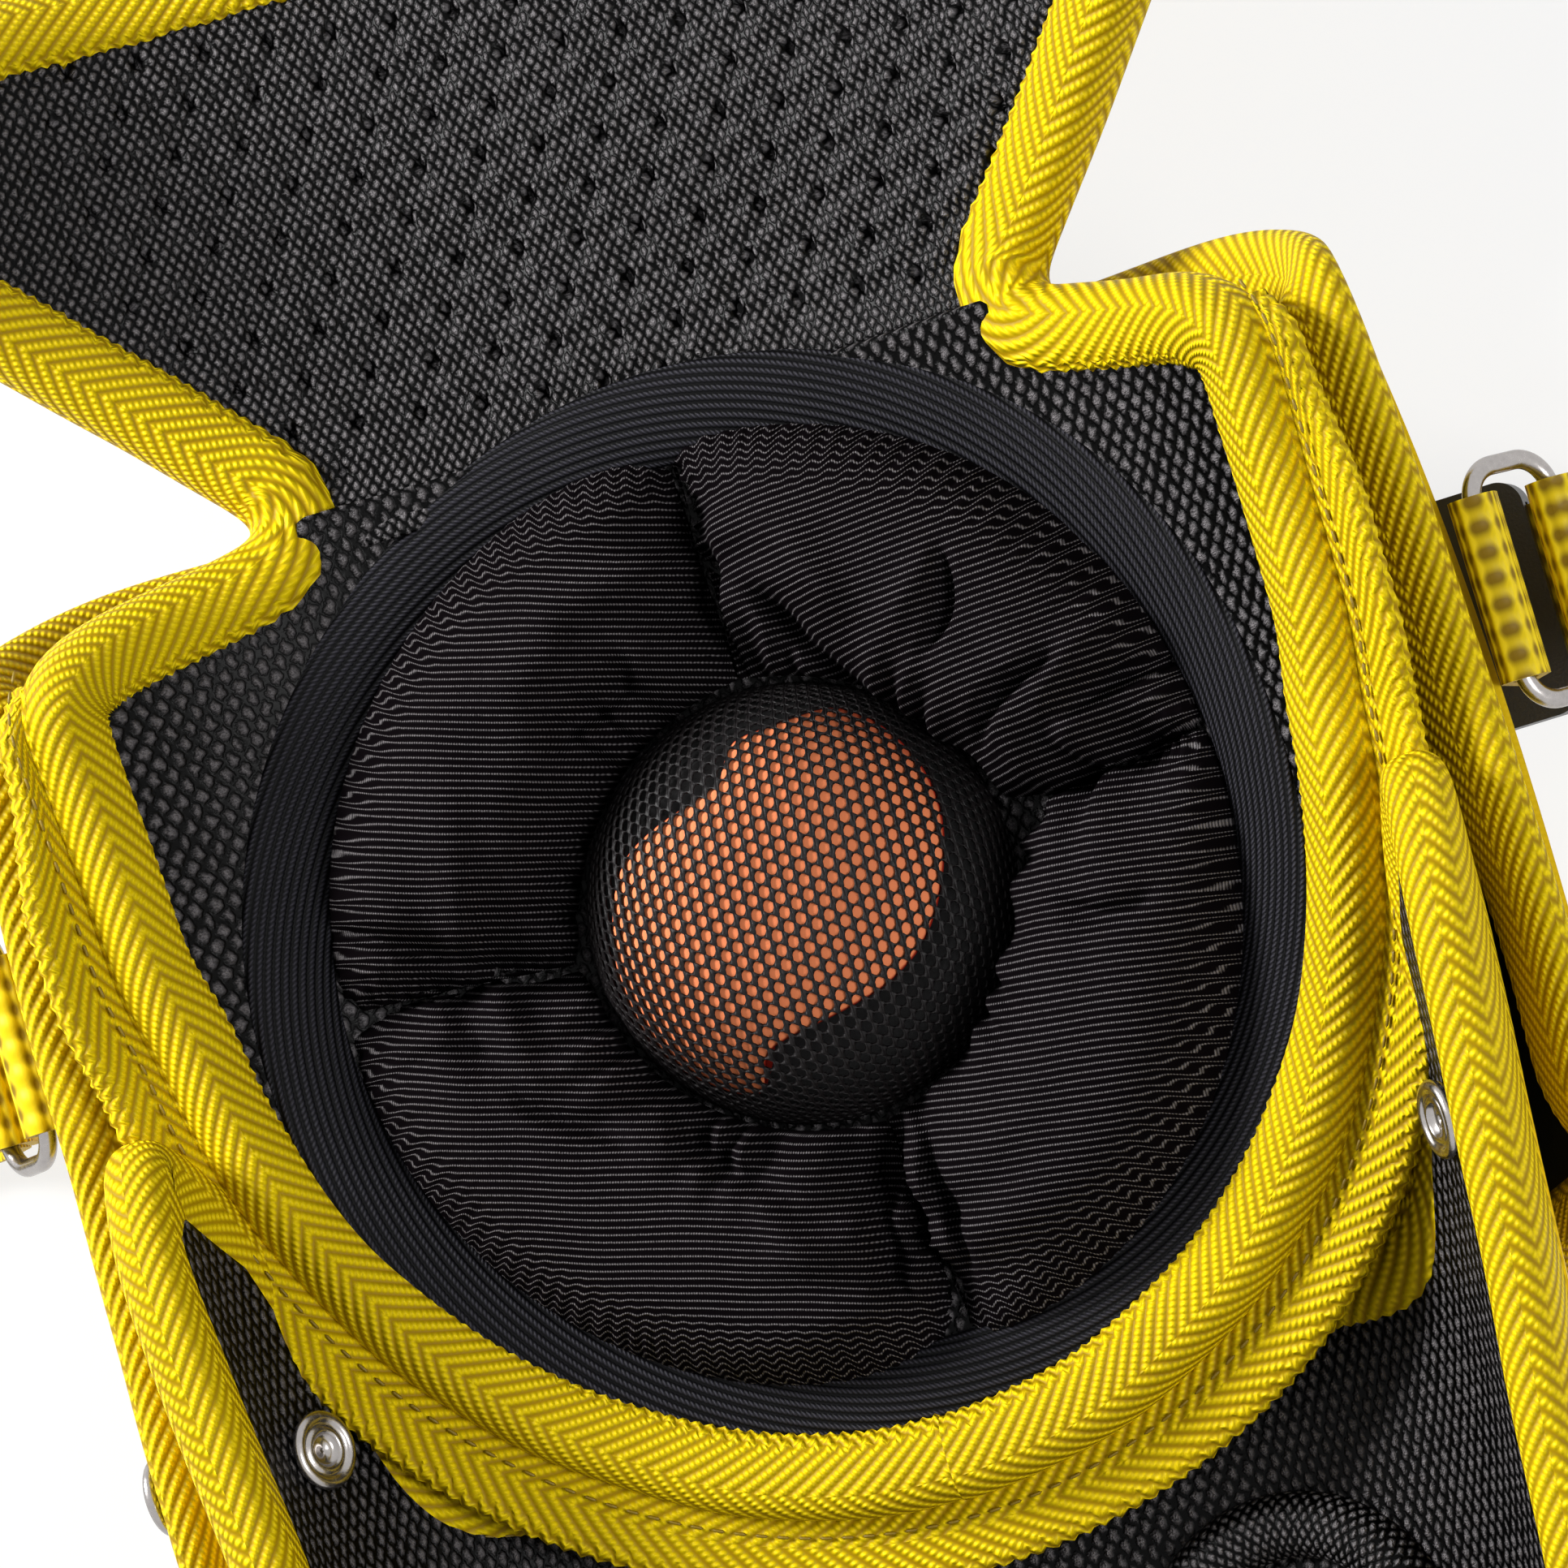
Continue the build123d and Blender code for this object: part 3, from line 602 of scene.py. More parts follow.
def moulded(name, code, roughness, grain, strength, metallic=0.0, shade=0.82, **sockets):
    """Moulded plastic, foam, rubber or metal: a fine grain from noise and a slow change of tone.
    grain is the size of the grain in millimetres, drawn no finer than shows."""
    material, tree, shader = begin(name, roughness, Metallic=metallic, **sockets)
    where = add(tree, "ShaderNodeTexCoord").outputs["Object"]
    fine = add(tree, "ShaderNodeTexNoise", {"Vector": where, "Scale": 1 / (grain * MM), "Detail": 4.0})
    slow = add(tree, "ShaderNodeTexNoise", {"Vector": where, "Scale": 35.0, "Detail": 2.0})
    tone = add(tree, "ShaderNodeMath", {0: fine, 1: 0.5}, operation="MULTIPLY")
    tone = add(tree, "ShaderNodeMath", {0: slow, 1: 0.5, 2: tone}, operation="MULTIPLY_ADD")
    ramp = add(tree, "ShaderNodeValToRGB", {"Fac": tone})
    bright = colour(code)
    dark = (*(np.array(bright[:3]) * shade), 1.0)
    for element, at, tone_colour in zip(ramp.color_ramp.elements, (0.35, 0.65), (dark, bright)):
        element.position, element.color = at, tone_colour
    worn = add(tree, "ShaderNodeMath", {0: fine, 1: 0.25, 2: roughness - 0.125}, operation="MULTIPLY_ADD")
    bump = add(tree, "ShaderNodeBump", {"Height": fine, "Strength": strength, "Distance": 0.2 * MM})
    tree.links.new(ramp.outputs[0], shader.inputs["Base Color"])
    tree.links.new(worn.outputs[0], shader.inputs["Roughness"])
    tree.links.new(bump.outputs[0], shader.inputs["Normal"])
    return material


def coated_cloth(name, low, high):
    """Polyurethane-coated nylon: a canvas grain under a satin coat, in Object coordinates. The grain is drawn
    at 0.9 mm, coarser than real, so that it shows."""
    material, tree, shader = begin(name, 0.42, Specular_IOR_Level=0.45)
    place = add(tree, "ShaderNodeTexCoord")
    split = add(tree, "ShaderNodeSeparateXYZ", {0: place.outputs["Object"]})
    weft, warp = (wave(tree, split.outputs[axis], 0.9 * MM) for axis in (0, 1))
    height = add(tree, "ShaderNodeMath", {0: weft, 1: warp}, operation="MULTIPLY")
    paint_weave_shade_and_bump(tree, shader, height, low, high, 0.18, 0.12, tint=0.6, scale=0.03)
    return material


def rubber_with_painted_flank_shade(name, face, side):
    """Moulded impact rubber with painted shade: bright on the face towards the leg, deep red where its sides
    turn away.
    """
    material, tree, shader = begin(name, 0.7, Specular_IOR_Level=0.15)
    place = add(tree, "ShaderNodeTexCoord")
    split = add(tree, "ShaderNodeSeparateXYZ", {0: place.outputs["Normal"]})
    where = place.outputs["Object"]
    grain = add(tree, "ShaderNodeTexNoise", {"Vector": where, "Scale": 0.7 / MM, "Detail": 3.0})
    # Painted shade: the colour turns from orange to deep red as the surface turns away from the leg's side.
    painted_flank_shade = add(tree, "ShaderNodeMath", {0: grain, 1: 0.12, 2: split.outputs[2]}, operation="MULTIPLY_ADD")
    ramp = add(tree, "ShaderNodeValToRGB", {"Fac": painted_flank_shade})
    for element, at, code in zip(ramp.color_ramp.elements, (0.4, 0.75), (side, face)):
        element.position, element.color = at, colour(code)
    bump = add(tree, "ShaderNodeBump", {"Height": grain, "Strength": 0.3, "Distance": 0.15 * MM})
    tree.links.new(ramp.outputs[0], shader.inputs["Base Color"])
    tree.links.new(bump.outputs[0], shader.inputs["Normal"])
    return material


# Colours run from the bottom of the weave to its top, from painted shade to painted highlight, and pitches are
# in millimetres.
# Woven polyester binding tape folded over the edges: strong ribs in a zigzag, matt, with painted shade in the
# grooves.
YELLOW_TAPE = herringbone_tape("yellow_herringbone_polyester_tape", "#9C7A00", "#FFE00C", rib=2.7, row=7.0)
# The outer cloth: nearly plain, with the soft shine of its coat, a mottled tone and a little painted shade in
# the hollows of its grain.
COVER = coated_cloth("yellow_coated_nylon", "#E8C404", "#FAD812")
# Elastic webbing of the straps and ring tabs: a ladder of ribs, with painted shade between them.
WEBBING = webbing_material("yellow_ribbed_elastic_webbing", "#8A6C00", "#FADA10", rib=1.1)
# Knitted spacer mesh: a rough dark net with painted shade in its pits and painted glints, coarse in the knee
# and shin, fine on the flap and pipes.
BLACK_MESH = spacer_mesh("black_polyester_spacer_mesh", "#000000", "#7A7678", cell=2.3)
FINE_MESH = spacer_mesh("black_fine_spacer_mesh", "#000000", "#868284", cell=1.5)
# Faille of the ring cushion: near black, with a painted highlight along its thin ribs.
FAILLE = ribbed_cloth("black_polyester_faille", "#0B080A", "#837E80", rib=1.0, thread=0.36)
# The ring's tape: matt, slightly blue, ribbed along its length, with a painted highlight on the ribs.
BLACK_TAPE = twill_tape("black_twill_tape", "#030304", "#3C3B42", rib=1.25)
# Nylon thread of the dome's net: dark with a little sheen.
NET_THREAD = moulded("black_nylon_net_thread", "#1A1617", 0.5, 0.5, 0.5, shade=0.3, Specular_IOR_Level=0.2)
# The impact insert: plain bright rubber, its flanks painted deep red as shade.
ORANGE = rubber_with_painted_flank_shade("orange_moulded_impact_rubber", "#FF9260", "#9A1E10")
# Rings and rivets: bright plated steel with a faint warm tint.
NICKEL = moulded("nickel_plated_steel", "#B5B0AD", 0.24, 0.8, 0.05, metallic=1.0)
# Buckles and keeper: black plastic with a fine moulded grain.
ACETAL = moulded("black_moulded_acetal", "#151415", 0.4, 0.4, 0.2)
# Shells inside the cloth: plain black plastic, a little duller.
SHELL = moulded("black_moulded_polyethylene", "#1B1B1C", 0.5, 0.6, 0.3)
# Padding: dull and nearly black.
FOAM = moulded("black_closed_cell_foam", "#0B0A0B", 0.9, 0.7, 0.6)
# Sewing thread.
BLACK_THREAD = moulded("black_polyester_thread", "#0E0D0E", 0.5, 0.4, 0.4)
YELLOW_THREAD = moulded("yellow_polyester_thread", "#8C7200", 0.5, 0.4, 0.4)

nodes = {o["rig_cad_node"]: o for o in bpy.context.scene.objects if "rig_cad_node" in o}


def finish_nodes(material, *names):
    """Gives a finish to CAD nodes that are shown as they are."""
    for name in names:
        mesh = nodes[name].data
        mesh.materials.clear()
        mesh.materials.append(material)


def both(stem):
    """The names of a pair of nodes."""
    return f"{stem}_left", f"{stem}_right"


finish_nodes(COVER, "knee_cover", "shin_cover", "flap_cover")
finish_nodes(SHELL, "knee_shell", "shin_shell", "flap_shell")
finish_nodes(FOAM, "knee_core_foam", "knee_liner_foam", "dome_foam", "shin_foam", "flap_foam")
finish_nodes(NICKEL, *both("knee_ring"), *both("calf_ring"))
finish_nodes(ACETAL, *both("buckle"), "strap_keeper")
finish_nodes(WEBBING, *both("knee_ring_tab"), *both("calf_ring_tab"), *both("knee_strap"), "calf_strap")


# ---- edge tape round the liner and the thigh flap -----------------------------------------------
def mirrored(points):
    """A half outline on the right, from the lowest point to the highest, closed with its mirror image."""
    points = np.array(points, float)
    return np.vstack([points, points[::-1] * np.array([-1, 1])])


def edge_plan():
    """Outline of the liner and the flap in plan: half an ellipse below, nearly straight sides, a sharp fold in
    at the neck, sides that slant out to the flap's widest corners, and the top edge."""
    bottom = np.linspace(-np.pi / 2, 0, 24)
    lower = np.stack([LINER_HALF * np.cos(bottom), BOWL_Y + (LINER_DOWN + BOWL_Y) * np.sin(bottom)], -1)[:-1]
    lower[0, 0] = 2.0
    upper = [
        (LINER_HALF + 2, 14),
        (LINER_HALF + 3, 62),
        (NECK_HALF, NECK_Y),
        (FLAP_HALF, FLAP_WIDEST_Y),
        (FLAP_HALF, FLAP_TOP),
        (2, FLAP_TOP),
    ]
    half_radii = np.r_[np.full(len(lower), 3.0), 6, 13, 2.6, 16, 14, 0.5]
    return rounded(mirrored([*lower, *upper]), np.r_[half_radii, half_radii[::-1]], closed=True, step=0.7)


def on_panels(places, liner_depth, flap_depth):
    """Points and normals on the knee liner below the neck and on the thigh flap above it, joined smoothly."""
    x, y = places[:, 0], places[:, 1]
    liner, liner_up = over("liner", x, np.minimum(y, NECK_Y + NECK_JOIN), liner_depth)
    flap, flap_up = over("flap", x, np.maximum(y, NECK_Y - NECK_JOIN), flap_depth)
    share = smoothstep(NECK_Y - NECK_JOIN, NECK_Y + NECK_JOIN, y)[:, None]
    points = liner * (1 - share) + flap * share
    points[:, 1] = y
    return points, unit(liner_up * (1 - share) + flap_up * share)


def scallop(along, height):
    """Small even bumps along a tape's selvedge."""
    return height * np.sin(along * TURN / SELVEDGE_PITCH)


def tucked(out, up, half, reach):
    """The tape's outer-cloth side, drawn further in by this much so that it covers the cloth's edge."""
    under = smoothstep(-0.5, -2.5, up) * smoothstep(0.5 * half, -half, out)
    return out - reach * under


edge, edge_up = on_panels(edge_plan(), LINER_WALL / 2, FLAP_WALL / 2)
edge, edge_up = soften(edge, 5, True), soften(edge_up, 9, True)
edge_x, edge_y = edge[:, :1], edge[:, 1:2]
from_notch = np.hypot(np.abs(edge_x) - NECK_HALF, edge_y - NECK_Y) * np.where(edge_y > NECK_Y, 1, -1)


def edge_profile(along, out, up):
    """The roll leans inwards from the edge. At the neck's two folds a deep crease runs in from the corner,
    with a smaller tuck on each side, and the tape waves a little elsewhere. On the flap its far side reaches
    further in, and furthest at the top corners, to cover the outer cloth's edge."""
    wavy = 0.35 * np.sin(along / 9.0) + 0.25 * np.sin(along / 4.1 + 1.7)
    inwards = smoothstep(EDGE_TAPE_HALF, -0.5 * EDGE_TAPE_HALF, out)
    crease = 3.4 * np.exp(-((from_notch / 0.9) ** 2)) * (1 - 0.75 * inwards)
    tucks = 1.1 * np.exp(-((from_notch / 4.5) ** 2)) * np.cos(from_notch * 2.1)
    bulge = 0.8 * np.exp(-((from_notch / 7) ** 2))
    rise = up + np.clip(up / 3, 0, 1) * (bulge - crease + tucks * (1 - inwards))
    bumps = scallop(along, 0.28) * (out < -0.6 * EDGE_TAPE_HALF)
    on_flare = smoothstep(NECK_Y, NECK_Y + 12, edge_y) * smoothstep(130, 118, edge_y)
    from_corner = np.hypot(np.abs(edge_x) - FLAP_HALF + 5, edge_y - FLAP_TOP + 5)
    at_corner = np.exp(-((from_corner / 11) ** 2))
    out = tucked(out, up, EDGE_TAPE_HALF, 2.5 + 6.0 * on_flare + 5.0 * at_corner)
    return (out + bumps + wavy * 0.4) - EDGE_TAPE_HALF, rise + wavy * 0.3


edge_tape = swept(
    "edge_tape",
    edge,
    edge_up,
    roll(EDGE_TAPE_HALF, 4.8, 5.6, 44),
    YELLOW_TAPE,
    closed=True,
    change=edge_profile,
    turn_width=9,
)
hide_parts("knee_liner_binding", "flap_binding")
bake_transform(edge_tape)

# The lower half of the liner's tape stands out past the roll as a flat flange.
below = np.where((edge_y[:, 0] < 58) & (np.abs(edge_x[:, 0]) < LINER_HALF + 8))[0]
order = below[np.argsort(np.arctan2(edge[below, 0], BOWL_Y - edge[below, 1]))]
flange_path, flange_up = edge[order], edge_up[order]
flange_y = flange_path[:, 1:2]
flange_reach = 3.0 * smoothstep(58, 50, flange_y) + 5.5 * smoothstep(48, 25, flange_y)
flange_reach = flange_reach + 1.5 * smoothstep(-15, -60, flange_y)


def flange_profile(along, out, up):
    """A strip from under the roll outwards, wider towards the lowest point, with a scalloped selvedge."""
    share = (out + FLANGE_HALF) / (2 * FLANGE_HALF)
    bumps = scallop(along, 0.35) * (share > 0.85)
    wavy = 0.8 * np.sin(along / 13.0) + 0.4 * np.sin(along / 5.0 + 1)
    return share * (flange_reach + 2.0) - 2.0 + bumps, up - 2.5 - 1.0 * share + wavy * 0.5 * share


flange_section = roll(FLANGE_HALF, 1.6, 1.9, 28, 3.2)
flange = swept("liner_tape_flange", flange_path, flange_up, flange_section, YELLOW_TAPE, change=flange_profile)
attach(flange, "knee")


# ---- knee cup's rim tape ------------------------------------------------------------------------
def knee_outline():
    """The cup's plan, a rounded rectangle, followed on the trough and cut off at the rim's height."""
    half = KNEE_HALF + 4
    low, high = knee_low[1], knee_high[1]
    plan = rounded([(half, low), (half, high), (-half, high), (-half, low)], 34.0, closed=True, step=1.0)
    x, y = plan[:, 0], plan[:, 1]
    s = s_at_x("knee", np.clip(x, -KNEE_HALF, KNEE_HALF), y, KNEE_WALL / 2)
    rim_s = s_at_z("knee", KNEE_RIM, y, KNEE_WALL / 2)
    line = np.hstack(lay("knee", np.clip(s, -rim_s, rim_s), y, KNEE_WALL / 2))
    line = soften(resample(np.vstack([line, line[:1]]), 1.2, True), 9, True)
    return line[:, :3], unit(line[:, 3:])


rim, rim_up = knee_outline()
# Above the shin wings the cup's tape lies over towards the liner and fills the space beside it.
lean = 0.6 * smoothstep(-75, -50, rim[:, 1:2]) + 0.4 * smoothstep(-30, 0, rim[:, 1:2])
lean = lean * smoothstep(40, 90, np.abs(rim[:, :1]))
rim_up = unit(rim_up + np.array([0, 0, 1.0]) * lean)


def rim_profile(along, out, up):
    """Gently waving, wider where the tape leans over, and tucked over the outer cloth's edge."""
    wavy = 0.5 * np.sin(along / 11.0) + 0.3 * np.sin(along / 4.7)
    bumps = scallop(along, 0.3) * (out < -3.5)
    out = tucked(out, up, RIM_TAPE_HALF, 5.5)
    return (out - RIM_TAPE_HALF) * (1 + 0.6 * lean) + bumps, up + wavy * 0.25


rim_section = roll(RIM_TAPE_HALF, 3.2, 3.6, 36)
rim_tape = swept("cup_rim_tape", rim, rim_up, rim_section, YELLOW_TAPE, closed=True, change=rim_profile)
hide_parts("knee_rim_binding")
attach(rim_tape, "knee")


# ---- shin guard: tape, lining, raised pads ------------------------------------------------------
def shin_outline():
    """The shin guard's edge: across the ankle end, up each side, round the wings and across under the knee."""

    def at(y, z):
        """A place on the edge at this y and height, as arc position and y."""
        return float(s_at_z("shin", np.array(z), np.array(float(y)), SHIN_WALL / 2)), y

    ends = shin_high[2]
    right = [
        (2, SHIN_END),
        at(SHIN_END, 52),
        at(-120, ends),
        at(-24, ends),
        at(-2, ends - 9),
        at(-14, ends - 24),
        at(SHIN_HEAD_Y, WING_INNER),
        (2, SHIN_HEAD_Y),
    ]
    radii = np.array([0.5, 9, 30, 9, 9, 9, 9, 0.5])
    plan = rounded(mirrored(right), np.r_[radii, radii[::-1]], closed=True, step=1.2)
    line = soften(np.hstack(lay("shin", plan[:, 0], plan[:, 1], SHIN_WALL / 2)), 5, True)
    return line[:, :3], unit(line[:, 3:])


shin_edge, shin_up = shin_outline()
shin_edge_y = shin_edge[:, 1:2]
wing_wide = 3.0 * smoothstep(-8, -30, shin_edge_y) + 4.0 * smoothstep(-40, -110, shin_edge_y)
wing_wide = wing_wide * smoothstep(-290, -250, shin_edge_y) * (shin_edge[:, :1] > 40)


def shin_profile(along, out, up):
    """Wider on the right wing, where the fabric leans in towards the leg."""
    wavy = 0.5 * np.sin(along / 12.0) + 0.3 * np.sin(along / 5.3 + 2)
    bumps = scallop(along, 0.3) * (out < -3.5)
    share = (SHIN_TAPE_HALF - out) / (2 * SHIN_TAPE_HALF)
    out = tucked(out, up, SHIN_TAPE_HALF, 3.0)
    return out - SHIN_TAPE_HALF + bumps - share * wing_wide, up + wavy * 0.3


shin_section = roll(SHIN_TAPE_HALF, 4.6, 4.9, 36)
shin_tape = swept(
    "shin_edge_tape", shin_edge, shin_up, shin_section, YELLOW_TAPE, closed=True, change=shin_profile
)
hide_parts("shin_binding")
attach(shin_tape, "shin")


def shin_lining():
    """The lining's columns run from the ankle end up to the tape under the knee, and at the sides on into the
    wings. It swells a little in slow waves."""
    share = np.linspace(-1, 1, 200)[None, :]
    wing_start = float(s_at_z("shin", np.array(WING_INNER), np.array(SHIN_HEAD_Y), SHIN_WALL))
    full = float(s_at_z("shin", np.array(shin_high[2]), np.array(-50.0), SHIN_WALL)) - 6
    top = np.interp(np.abs(share), [0, wing_start / full, 0.86, 0.95, 1], [-66, -64, -26, -18, -22])
    y = SHIN_END + 6 + (top - SHIN_END - 6) * np.linspace(0, 1, 230)[:, None]
    height = np.interp(y, [SHIN_END, -120, -60, 0], [52, shin_high[2], shin_high[2], shin_high[2]])
    s = share * (s_at_z("shin", height, y, SHIN_WALL) - 6)
    points, normals = lay("shin", s, y, SHIN_WALL)
    swell = 0.4 * np.sin(s / 9 + y / 23) * np.sin(y / 17)
    uv = np.stack([s, y], -1)
    return sheet_piece("shin_lining_mesh", points + normals * swell[..., None], uv, BLACK_MESH, 1.6)


lining = shin_lining()
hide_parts("shin_lining")
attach(lining, "shin")


def shin_pad(name):
    """A raised pad on the lining, a long oval in plan: a piped rim round it and a crowned net panel inside."""
    low, high = box_mm(f"shin_pad_{name}")
    centre = (low + high) / 2
    half_x, half_y = (high[0] - low[0]) / 2, (high[1] - low[1]) / 2
    pipe_half = 4.6
    radius = half_x - 4.5
    angle = np.linspace(0, np.pi, 24)
    end = np.stack([radius * np.cos(angle), radius * np.sin(angle)], -1)
    foot_y, head_y = centre[1] - half_y + half_x, centre[1] + half_y - half_x
    head, foot = end + np.array([centre[0], head_y]), -end + np.array([centre[0], foot_y])
    oval = np.vstack([head, foot, head[:1]])

    loop = resample(oval, 1.2, True)
    path, up = over("shin", loop[:, 0], loop[:, 1], SHIN_WALL)
    pipe = swept(f"shin_pad_rim_{name}", path, up, roll(pipe_half, 0.6, 5.0, 26, 2.2), FINE_MESH, closed=True)
    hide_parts(f"shin_pad_{name}")
    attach(pipe, "shin")

    # The panel's rows run from the oval's middle line out to the pipe.
    share = np.linspace(0, 1, 26)[:, None, None]
    border = resample(oval, 1.6, True)
    spine_y = np.clip(border[:, 1], foot_y, head_y)
    spine = np.stack([0 * spine_y + centre[0], spine_y], -1)
    disc = spine[None] + (border - spine)[None] * 0.86 * share
    points, normals = over("shin", disc[..., 0], disc[..., 1], SHIN_WALL)
    crown = 2.6 * (1 - share**4)
    panel = sheet_piece(f"shin_pad_net_{name}", points + normals * crown, disc, BLACK_MESH, 1.2, wrap=True)
    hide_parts(f"shin_pad_mesh_{name}")
    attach(panel, "shin")


for side_name in ("left", "right"):
    shin_pad(side_name)


# ---- knee liner and thigh flap linings ----------------------------------------------------------
def liner_plan():
    """The liner's part of the edge plan, inside the tape's outer edge, as a closed outline."""
    half, neck = LINER_HALF - LINING_INSET, NECK_HALF - LINING_INSET
    shoulder_y, fold_y = 63 - LINING_INSET, NECK_Y - LINING_INSET * 0.6
    angle = np.linspace(-np.pi, 0, 90)
    lower_half = LINER_DOWN + BOWL_Y - LINING_INSET
    arc = np.stack([half * np.cos(angle), BOWL_Y + lower_half * np.sin(angle)], -1)
    right = [(half, BOWL_Y), (half, shoulder_y), (neck, fold_y), (neck, NECK_Y)]
    left = [(-x, y) for x, y in reversed(right)]
    head = rounded(right + left, 8, step=1.0)
    return resample(np.vstack([arc, head[1:]]), 1.2, True)


def knee_liner():
    """The liner's mesh: rings from a middle point out to the outline, laid on the liner's trough."""
    middle = np.array([0, 4.0])
    share = np.linspace(0, 1, 90)[:, None, None] ** 0.8
    disc = middle + (liner_plan() - middle)[None] * share
    points, _ = over("liner", disc[..., 0], disc[..., 1], LINER_WALL)
    return sheet_piece("knee_liner_spacer", points, disc, BLACK_MESH, 3.0, wrap=True)


liner_mesh = knee_liner()
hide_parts("knee_liner_mesh")
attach(liner_mesh, "knee")

# Steps between the flap lining's pressed dimples, which stand on a slanted lattice.
DIMPLE_STEPS = np.array([[8.6, -1.2], [3.4, 6.4]])


def flap_reach(y):
    """Half width of the flap's lining: it follows the flap's sides, drawn in at the widest and top corners."""
    at = [NECK_Y, NECK_FLARE_Y + 3, FLAP_WIDEST_Y, FLAP_TOP]
    reach = np.interp(y, at, [NECK_HALF, NECK_HALF + 3, FLAP_HALF, FLAP_HALF]) - LINING_INSET
    reach = reach - 3.5 * np.exp(-(((y - FLAP_WIDEST_Y) / 8) ** 2))
    corner = 16.0
    return reach - corner + np.sqrt(corner**2 - np.clip(y - FLAP_TOP + 5 + corner, 0, corner - 1) ** 2)


def flap_lining():
    """The flap's lining: rows from the neck to the top edge, as wide as the flap there. Each dimple is a
    narrow pit with the cloth quilted up between them, a groove runs along the neck's seam, and slow waves
    cross it all. Towards the tape the sheet is calm and lies a little deeper."""
    y = np.linspace(NECK_Y - 6, FLAP_TOP - 5, 150)[:, None]
    reach = flap_reach(y)
    x = np.linspace(-1, 1, 320)[None, :] * reach
    flat = np.stack([x, y + 0 * x], -1).reshape(-1, 2)
    flat_x, flat_y = flat[:, 0], flat[:, 1]
    points, normals = on_panels(flat, LINER_WALL, FLAP_WALL)
    cell = flat @ np.linalg.inv(DIMPLE_STEPS.T).T
    offset = (cell - np.round(cell)) @ DIMPLE_STEPS
    field = smoothstep(FLAP_HALF - 18, FLAP_HALF - 40, np.abs(flat_x))
    field = field * smoothstep(NECK_Y + 2, NECK_Y + 8, flat_y)
    pit = 2.6 * np.exp(-((offset[:, 0] / 0.7) ** 2) - (offset[:, 1] / 1.2) ** 2) * field
    quilt = 0.5 * np.cos(TURN * cell[:, 0]) * np.cos(TURN * cell[:, 1]) * field
    seam = 1.4 * np.exp(-(((flat_y - NECK_Y + 1.5) / 1.6) ** 2))
    swell = 1.0 * np.sin(flat_x / 31 + flat_y / 19)
    edge_room = np.minimum(FLAP_TOP - 5 - y + 0 * x, reach - np.abs(x)).ravel()
    calm = smoothstep(0, 14, edge_room)
    points = points + normals * ((quilt + swell) * calm - pit - seam - 1.2 * (1 - calm))[:, None]
    return sheet_piece(
        "flap_lining_mesh", points.reshape(*x.shape, 3), flat.reshape(*x.shape, 2), FINE_MESH, 1.8
    )


flap_mesh = flap_lining()
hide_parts("flap_lining")
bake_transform(flap_mesh)


# ---- rows of stitches ---------------------------------------------------------------------------
def neck_stitches():
    """Black stitches across the neck, in the seam between the liner and the flap."""
    across = np.linspace(-NECK_HALF + 9, NECK_HALF - 9, 120)
    seam = np.stack([across, 0 * across + NECK_Y - 1.5], -1)
    points, up = on_panels(seam, LINER_WALL - 0.3, FLAP_WALL - 0.3)
    made = stitches("neck_seam_stitches", points, up, BLACK_THREAD, radius=0.4)
    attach(made, "knee")


def tape_stitches(name, path, normals, out, up, body, closed=True, thread=YELLOW_THREAD):
    """Row of thread stitches on a tape, this far out from the tape's path and this far above it."""
    out_dir, up_dir = frame_along(path, normals, closed)
    made = stitches(name, path + out_dir * out + up_dir * up, up_dir, thread, 2.0, 3.0, 0.3, closed)
    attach(made, body)


def stretch(inside):
    """The places of a closed path that are inside, in order, from the start of their one unbroken stretch."""
    first = int(np.argmax(inside & ~np.roll(inside, 1)))
    return (first + np.arange(inside.sum())) % len(inside)


neck_stitches()
on_liner = stretch(edge_y[:, 0] < NECK_Y - 12)
right_flap = stretch((edge_y[:, 0] > NECK_Y + 10) & (edge_y[:, 0] < FLAP_TOP - 12) & (edge_x[:, 0] > 0))
tape_stitches("liner_tape_stitches", edge[on_liner], edge_up[on_liner], -10.9, 3.3, "knee", closed=False)
tape_stitches(
    "flap_tape_stitches", edge[right_flap], edge_up[right_flap], -10.6, 3.9, "thigh_flap", False, BLACK_THREAD
)
tape_stitches("flange_stitches", flange_path, flange_up, 2.5, -0.5, "knee", closed=False)
tape_stitches("rim_tape_stitches", rim, rim_up, -8.6, 3.0, "knee")
tape_stitches("shin_tape_stitches", shin_edge, shin_up, -9.8, 4.1, "shin")


# ---- ring tape and gathered cushion -------------------------------------------------------------
def liner_arc(radius, start=0.0, end=TURN, step=1.0, closed=False):
    """Points and normals of a circle in plan, laid on the liner, and the angle of each."""
    count = int(abs(end - start) * radius / step)
    angle = np.linspace(start, end, count, endpoint=not closed)
    points, normals = over("liner", radius * np.cos(angle), radius * np.sin(angle), LINER_WALL)
    return points, normals, angle


ring_path, ring_up, _ = liner_arc(RING_TAPE_RADIUS - RING_TAPE_HALF, closed=True)
ring_section = roll(RING_TAPE_HALF, 0.5, 1.9, 30, 2.4)
ring = swept("cushion_ring_band", ring_path, ring_up, ring_section, BLACK_TAPE, closed=True)
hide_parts("cushion_ring_tape")
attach(ring, "knee")

# The cushion's quarters: the angles of the seams at their two ends and the slant of their ribs, in degrees.
QUARTERS = (
    ("upper_right", 5.5, 89.5, 3.0),
    ("upper_left", 89.5, 177.5, -17.0),
    ("lower_left", 177.5, 276.0, -17.0),
    ("lower_right", 276.0, 365.5, -8.0),
)
# Half the gap between two quarters, in degrees, and the points round a quarter's roll.
SEAM_GAP = 0.5
COLUMNS = 130

